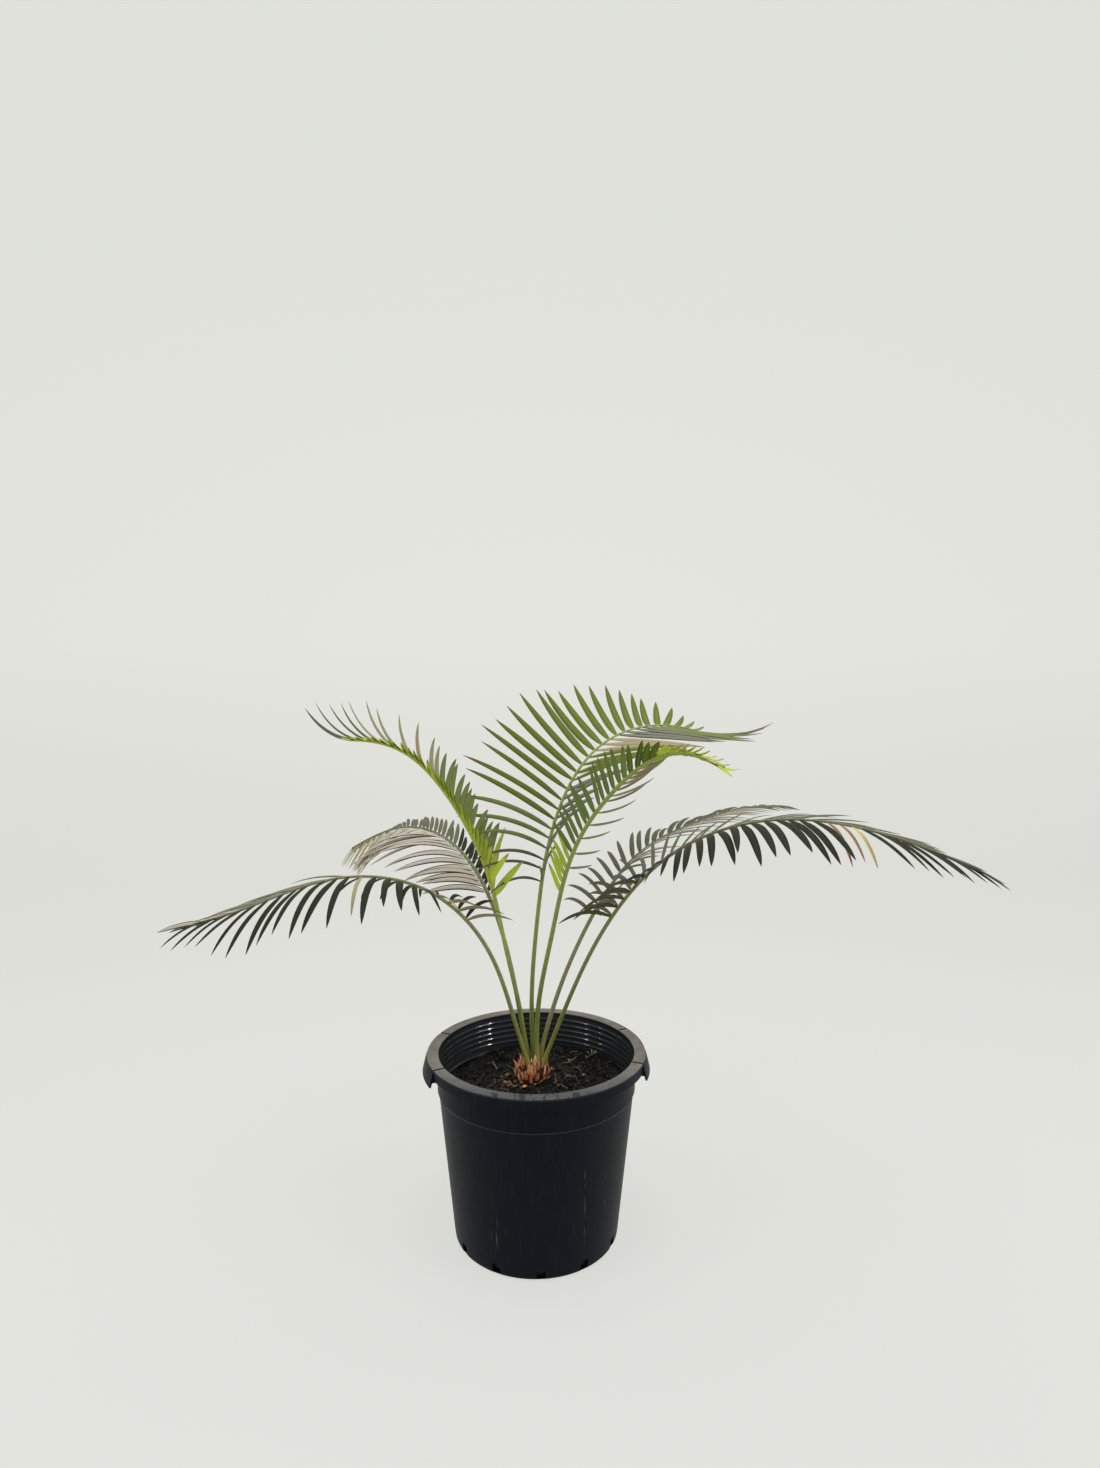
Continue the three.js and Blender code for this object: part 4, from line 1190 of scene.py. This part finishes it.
def stalk_line(frond, points, sizes):
    """A frond's whole stalk and midrib as one line, with a bump at every third point of the stalk."""
    shares = np.linspace(0, 1, MIDRIB_STEPS + 1)
    girth = np.array([stalk_radius(frond, t, sizes) for t in shares])
    girth += SWELLING * np.exp(-shares * frond["length"] / SWELLING_LENGTH)
    facing = np.array([axes_at(frond, t)[2] for t in shares])
    bare = (shares > 0.05) & (shares < frond["start"])
    bump = (bare & (np.arange(MIDRIB_STEPS + 1) % 3 == 0)).astype(float)
    sunk = [points[0] - unit(points[1] - points[0]) * depth for depth in SUNK]
    index = [0] * len(SUNK) + list(range(MIDRIB_STEPS + 1))
    return {"places": np.concatenate([sunk, points]), "facing": facing[index], "girth": girth[index],
            "place": shares[index], "bump": bump[index]}


class CYCAS_OT_fronds(bpy.types.Operator):
    """Grows each frond's stalk and its leaflets by the frond's rule"""
    bl_idname = "cycas.fronds"
    bl_label = "Fronds"

    def execute(self, context):
        _, sizes, _ = settings()
        uppers = {kind: linear(colours[0]) for kind, colours in LEAVES.items()}
        uppers.update(dark=tuple(sizes.old_leaf), young=tuple(sizes.young_leaf),
                      fresh=tuple(sizes.fresh_leaf))
        finishes = {kind: leaf_material(kind, upper) for kind, upper in uppers.items()}
        stalks = {kind: stalk_material(kind) for kind in STALK_COLOURS}
        blades, tubes = blade_tree(), tube_tree()
        draw = np.random.default_rng(SEED + 2)
        for name, frond in FRONDS.items():
            points = midrib(frond)
            source = lines_mesh(name + "_midrib", [stalk_line(frond, points, sizes)])
            stalk = grown(name + "_midrib", source, tubes, {
                "Sides": 12, "Flatness": 0.85, "Bump size": 0.7 * MM,
                "Finish": stalks[frond["stalk"]]})
            smooth_by_angle(stalk, 60)
            seat(stalk, "stalk", name + "_stalk")
            slot = "young_leaf" if name.startswith("young") else "old_leaf"
            for kind, lines in leaflets_of(frond, points, sizes, draw).items():
                leaflets = grown(f"{name}_{kind}_leaflets", lines_mesh(name, lines), blades, {
                    "Thickness": 0.12, "Fold": frond["fold"], "Finish": finishes[kind]})
                smooth_by_angle(leaflets, 60)
                seat(leaflets, slot, name + "_lower_blade", name + "_upper_blade")
        return {"FINISHED"}


# Stage

# The camera, in millimetres and radians, with its focal length in pixels of the photograph
CAMERA_PLACE = (1.6, -1127, 727)
CAMERA_YAW = 0.01517
CAMERA_PITCH = 0.0368
FOCAL_PIXELS = 827
LONG_SIDE_PIXELS = 1468
SENSOR = 36

# The paper: its front edge, where it starts to bend up, the bend's radius, its top and half its width
PAPER_FRONT = -3000
PAPER_BEND = 1900
PAPER_RADIUS = 1200
PAPER_TOP = 6500
PAPER_HALF_WIDTH = 6000

# How strongly the paper glows at the floor and a metre up, because the lamps light the floor better
PAPER_GLOW = (0.825, 0.905)

# Lamps: place, size, power in watts, and the height that they point at
LAMPS = {
    "overhead": ((0, -200, 2400), 2000, 30.0, 250),
    "left": ((-1700, -700, 1500), 1200, 8.0, 400),
    "right": ((1800, -600, 1300), 1000, 9.0, 400),
    "first right strip": ((1570, -835, 1000), 40, 11.0, 230),
    "second right strip": ((1732, -448, 950), 20, 2.0, 230),
    "first left strip": ((-1640, -707, 950), 20, 2.5, 230),
    "second left strip": ((-1797, -96, 900), 20, 2.5, 230),
}
STRIP_LENGTH = 1400


def paper_outline():
    """The paper's profile from front to top, as (y, height)."""
    bend = [(PAPER_BEND + PAPER_RADIUS * math.sin(a), PAPER_RADIUS * (1 - math.cos(a)))
            for a in np.radians(range(10, 91, 10))]
    return [(PAPER_FRONT, -0.6), (PAPER_BEND, -0.6), *bend, (PAPER_BEND + PAPER_RADIUS, PAPER_TOP)]


def paper_material():
    """Matt paper, lit through from behind, so that no shadow or corner shows on it."""
    material, tree, shader = new_material("pale matt paper, lit through from behind")
    place = add(tree, "ShaderNodeTexCoord").node.outputs["Object"]
    height = add(tree, "ShaderNodeSeparateXYZ", (place,)).node.outputs[2]
    glow = add(tree, "ShaderNodeMapRange", (height, 0.0, 1.0, *PAPER_GLOW))
    fill(tree, shader, {
        "Base Color": linear("#686866"), "Roughness": 0.95, "Specular IOR Level": 0.0,
        "Emission Color": linear("#e1e2dc"), "Emission Strength": glow})
    return material


def lamp_at(name, place, size, power, aim):
    """An area lamp that points at a height on the plant's axis."""
    data = bpy.data.lights.new(name, "AREA")
    data.size, data.energy = size * MM, power
    lamp = new_object(name, data)
    if "strip" in name:
        # Tall and narrow, and seen only in glossy skins
        data.shape, data.size_y = "RECTANGLE", STRIP_LENGTH * MM
        lamp.visible_diffuse = False
    lamp.location = Vector(place) * MM
    lamp.rotation_euler = (Vector((0, 0, aim)) - Vector(place)).to_track_quat("-Z", "Y").to_euler()


class CYCAS_OT_stage(bpy.types.Operator):
    """Sets the pale floor, the soft studio light and the camera"""
    bl_idname = "cycas.stage"
    bl_label = "Stage"

    def execute(self, context):
        scene = context.scene
        scene.view_settings.view_transform = "Standard"
        yaw, pitch = CAMERA_YAW, CAMERA_PITCH
        data = bpy.data.cameras.new("camera")
        data.sensor_width, data.lens = SENSOR, FOCAL_PIXELS / LONG_SIDE_PIXELS * SENSOR
        camera = new_object("camera", data)
        camera.location = Vector(CAMERA_PLACE) * MM
        ahead = Vector((math.sin(yaw) * math.cos(pitch), math.cos(yaw) * math.cos(pitch),
                        -math.sin(pitch)))
        camera.rotation_euler = ahead.to_track_quat("-Z", "Y").to_euler()
        scene.camera = camera

        outline = paper_outline()
        places = [(x, y, z) for y, z in outline for x in (-PAPER_HALF_WIDTH, PAPER_HALF_WIDTH)]
        faces = [(2 * k, 2 * k + 1, 2 * k + 3, 2 * k + 2) for k in range(len(outline) - 1)]
        floor = new_object("floor", mesh_of("floor", places, faces))
        floor.data.shade_smooth()
        floor.data.materials.append(paper_material())

        world = bpy.data.worlds.new("studio")
        world.use_nodes = True
        tree = world.node_tree
        fill(tree, tree.nodes["Background"], {"Color": linear("#f4f6fa"), "Strength": 0.45})
        scene.world = world
        for name, lamp in LAMPS.items():
            lamp_at(name, *lamp)
        return {"FINISHED"}


class CYCAS_PT_panel(bpy.types.Panel):
    """Lists the plant's sizes, colours and pieces"""
    bl_idname = "CYCAS_PT_panel"
    bl_label = "Cycas"
    bl_space_type = "VIEW_3D"
    bl_region_type = "UI"
    bl_category = "Cycas"

    def draw(self, context):
        for group in settings():
            for name in group.__annotations__:
                self.layout.prop(group, name)
        for operator in OPERATORS:
            self.layout.operator(operator.bl_idname)


GROUPS = {"cycas_pot": CycasPot, "cycas_foliage": CycasFoliage, "cycas_soil": CycasSoil}
OPERATORS = (CYCAS_OT_pot, CYCAS_OT_soil, CYCAS_OT_crown, CYCAS_OT_fronds, CYCAS_OT_stage)


def register():
    for name, group in GROUPS.items():
        bpy.utils.register_class(group)
        setattr(bpy.types.Scene, name, bpy.props.PointerProperty(type=group))
    for operator in (*OPERATORS, CYCAS_PT_panel):
        bpy.utils.register_class(operator)


def unregister():
    for operator in (CYCAS_PT_panel, *reversed(OPERATORS)):
        bpy.utils.unregister_class(operator)
    for name, group in GROUPS.items():
        delattr(bpy.types.Scene, name)
        bpy.utils.unregister_class(group)


def main():
    register()
    bpy.ops.cycas.pot()
    bpy.ops.cycas.soil()
    bpy.ops.cycas.crown()
    bpy.ops.cycas.fronds()
    bpy.ops.cycas.stage()


if __name__ == "__main__":
    main()
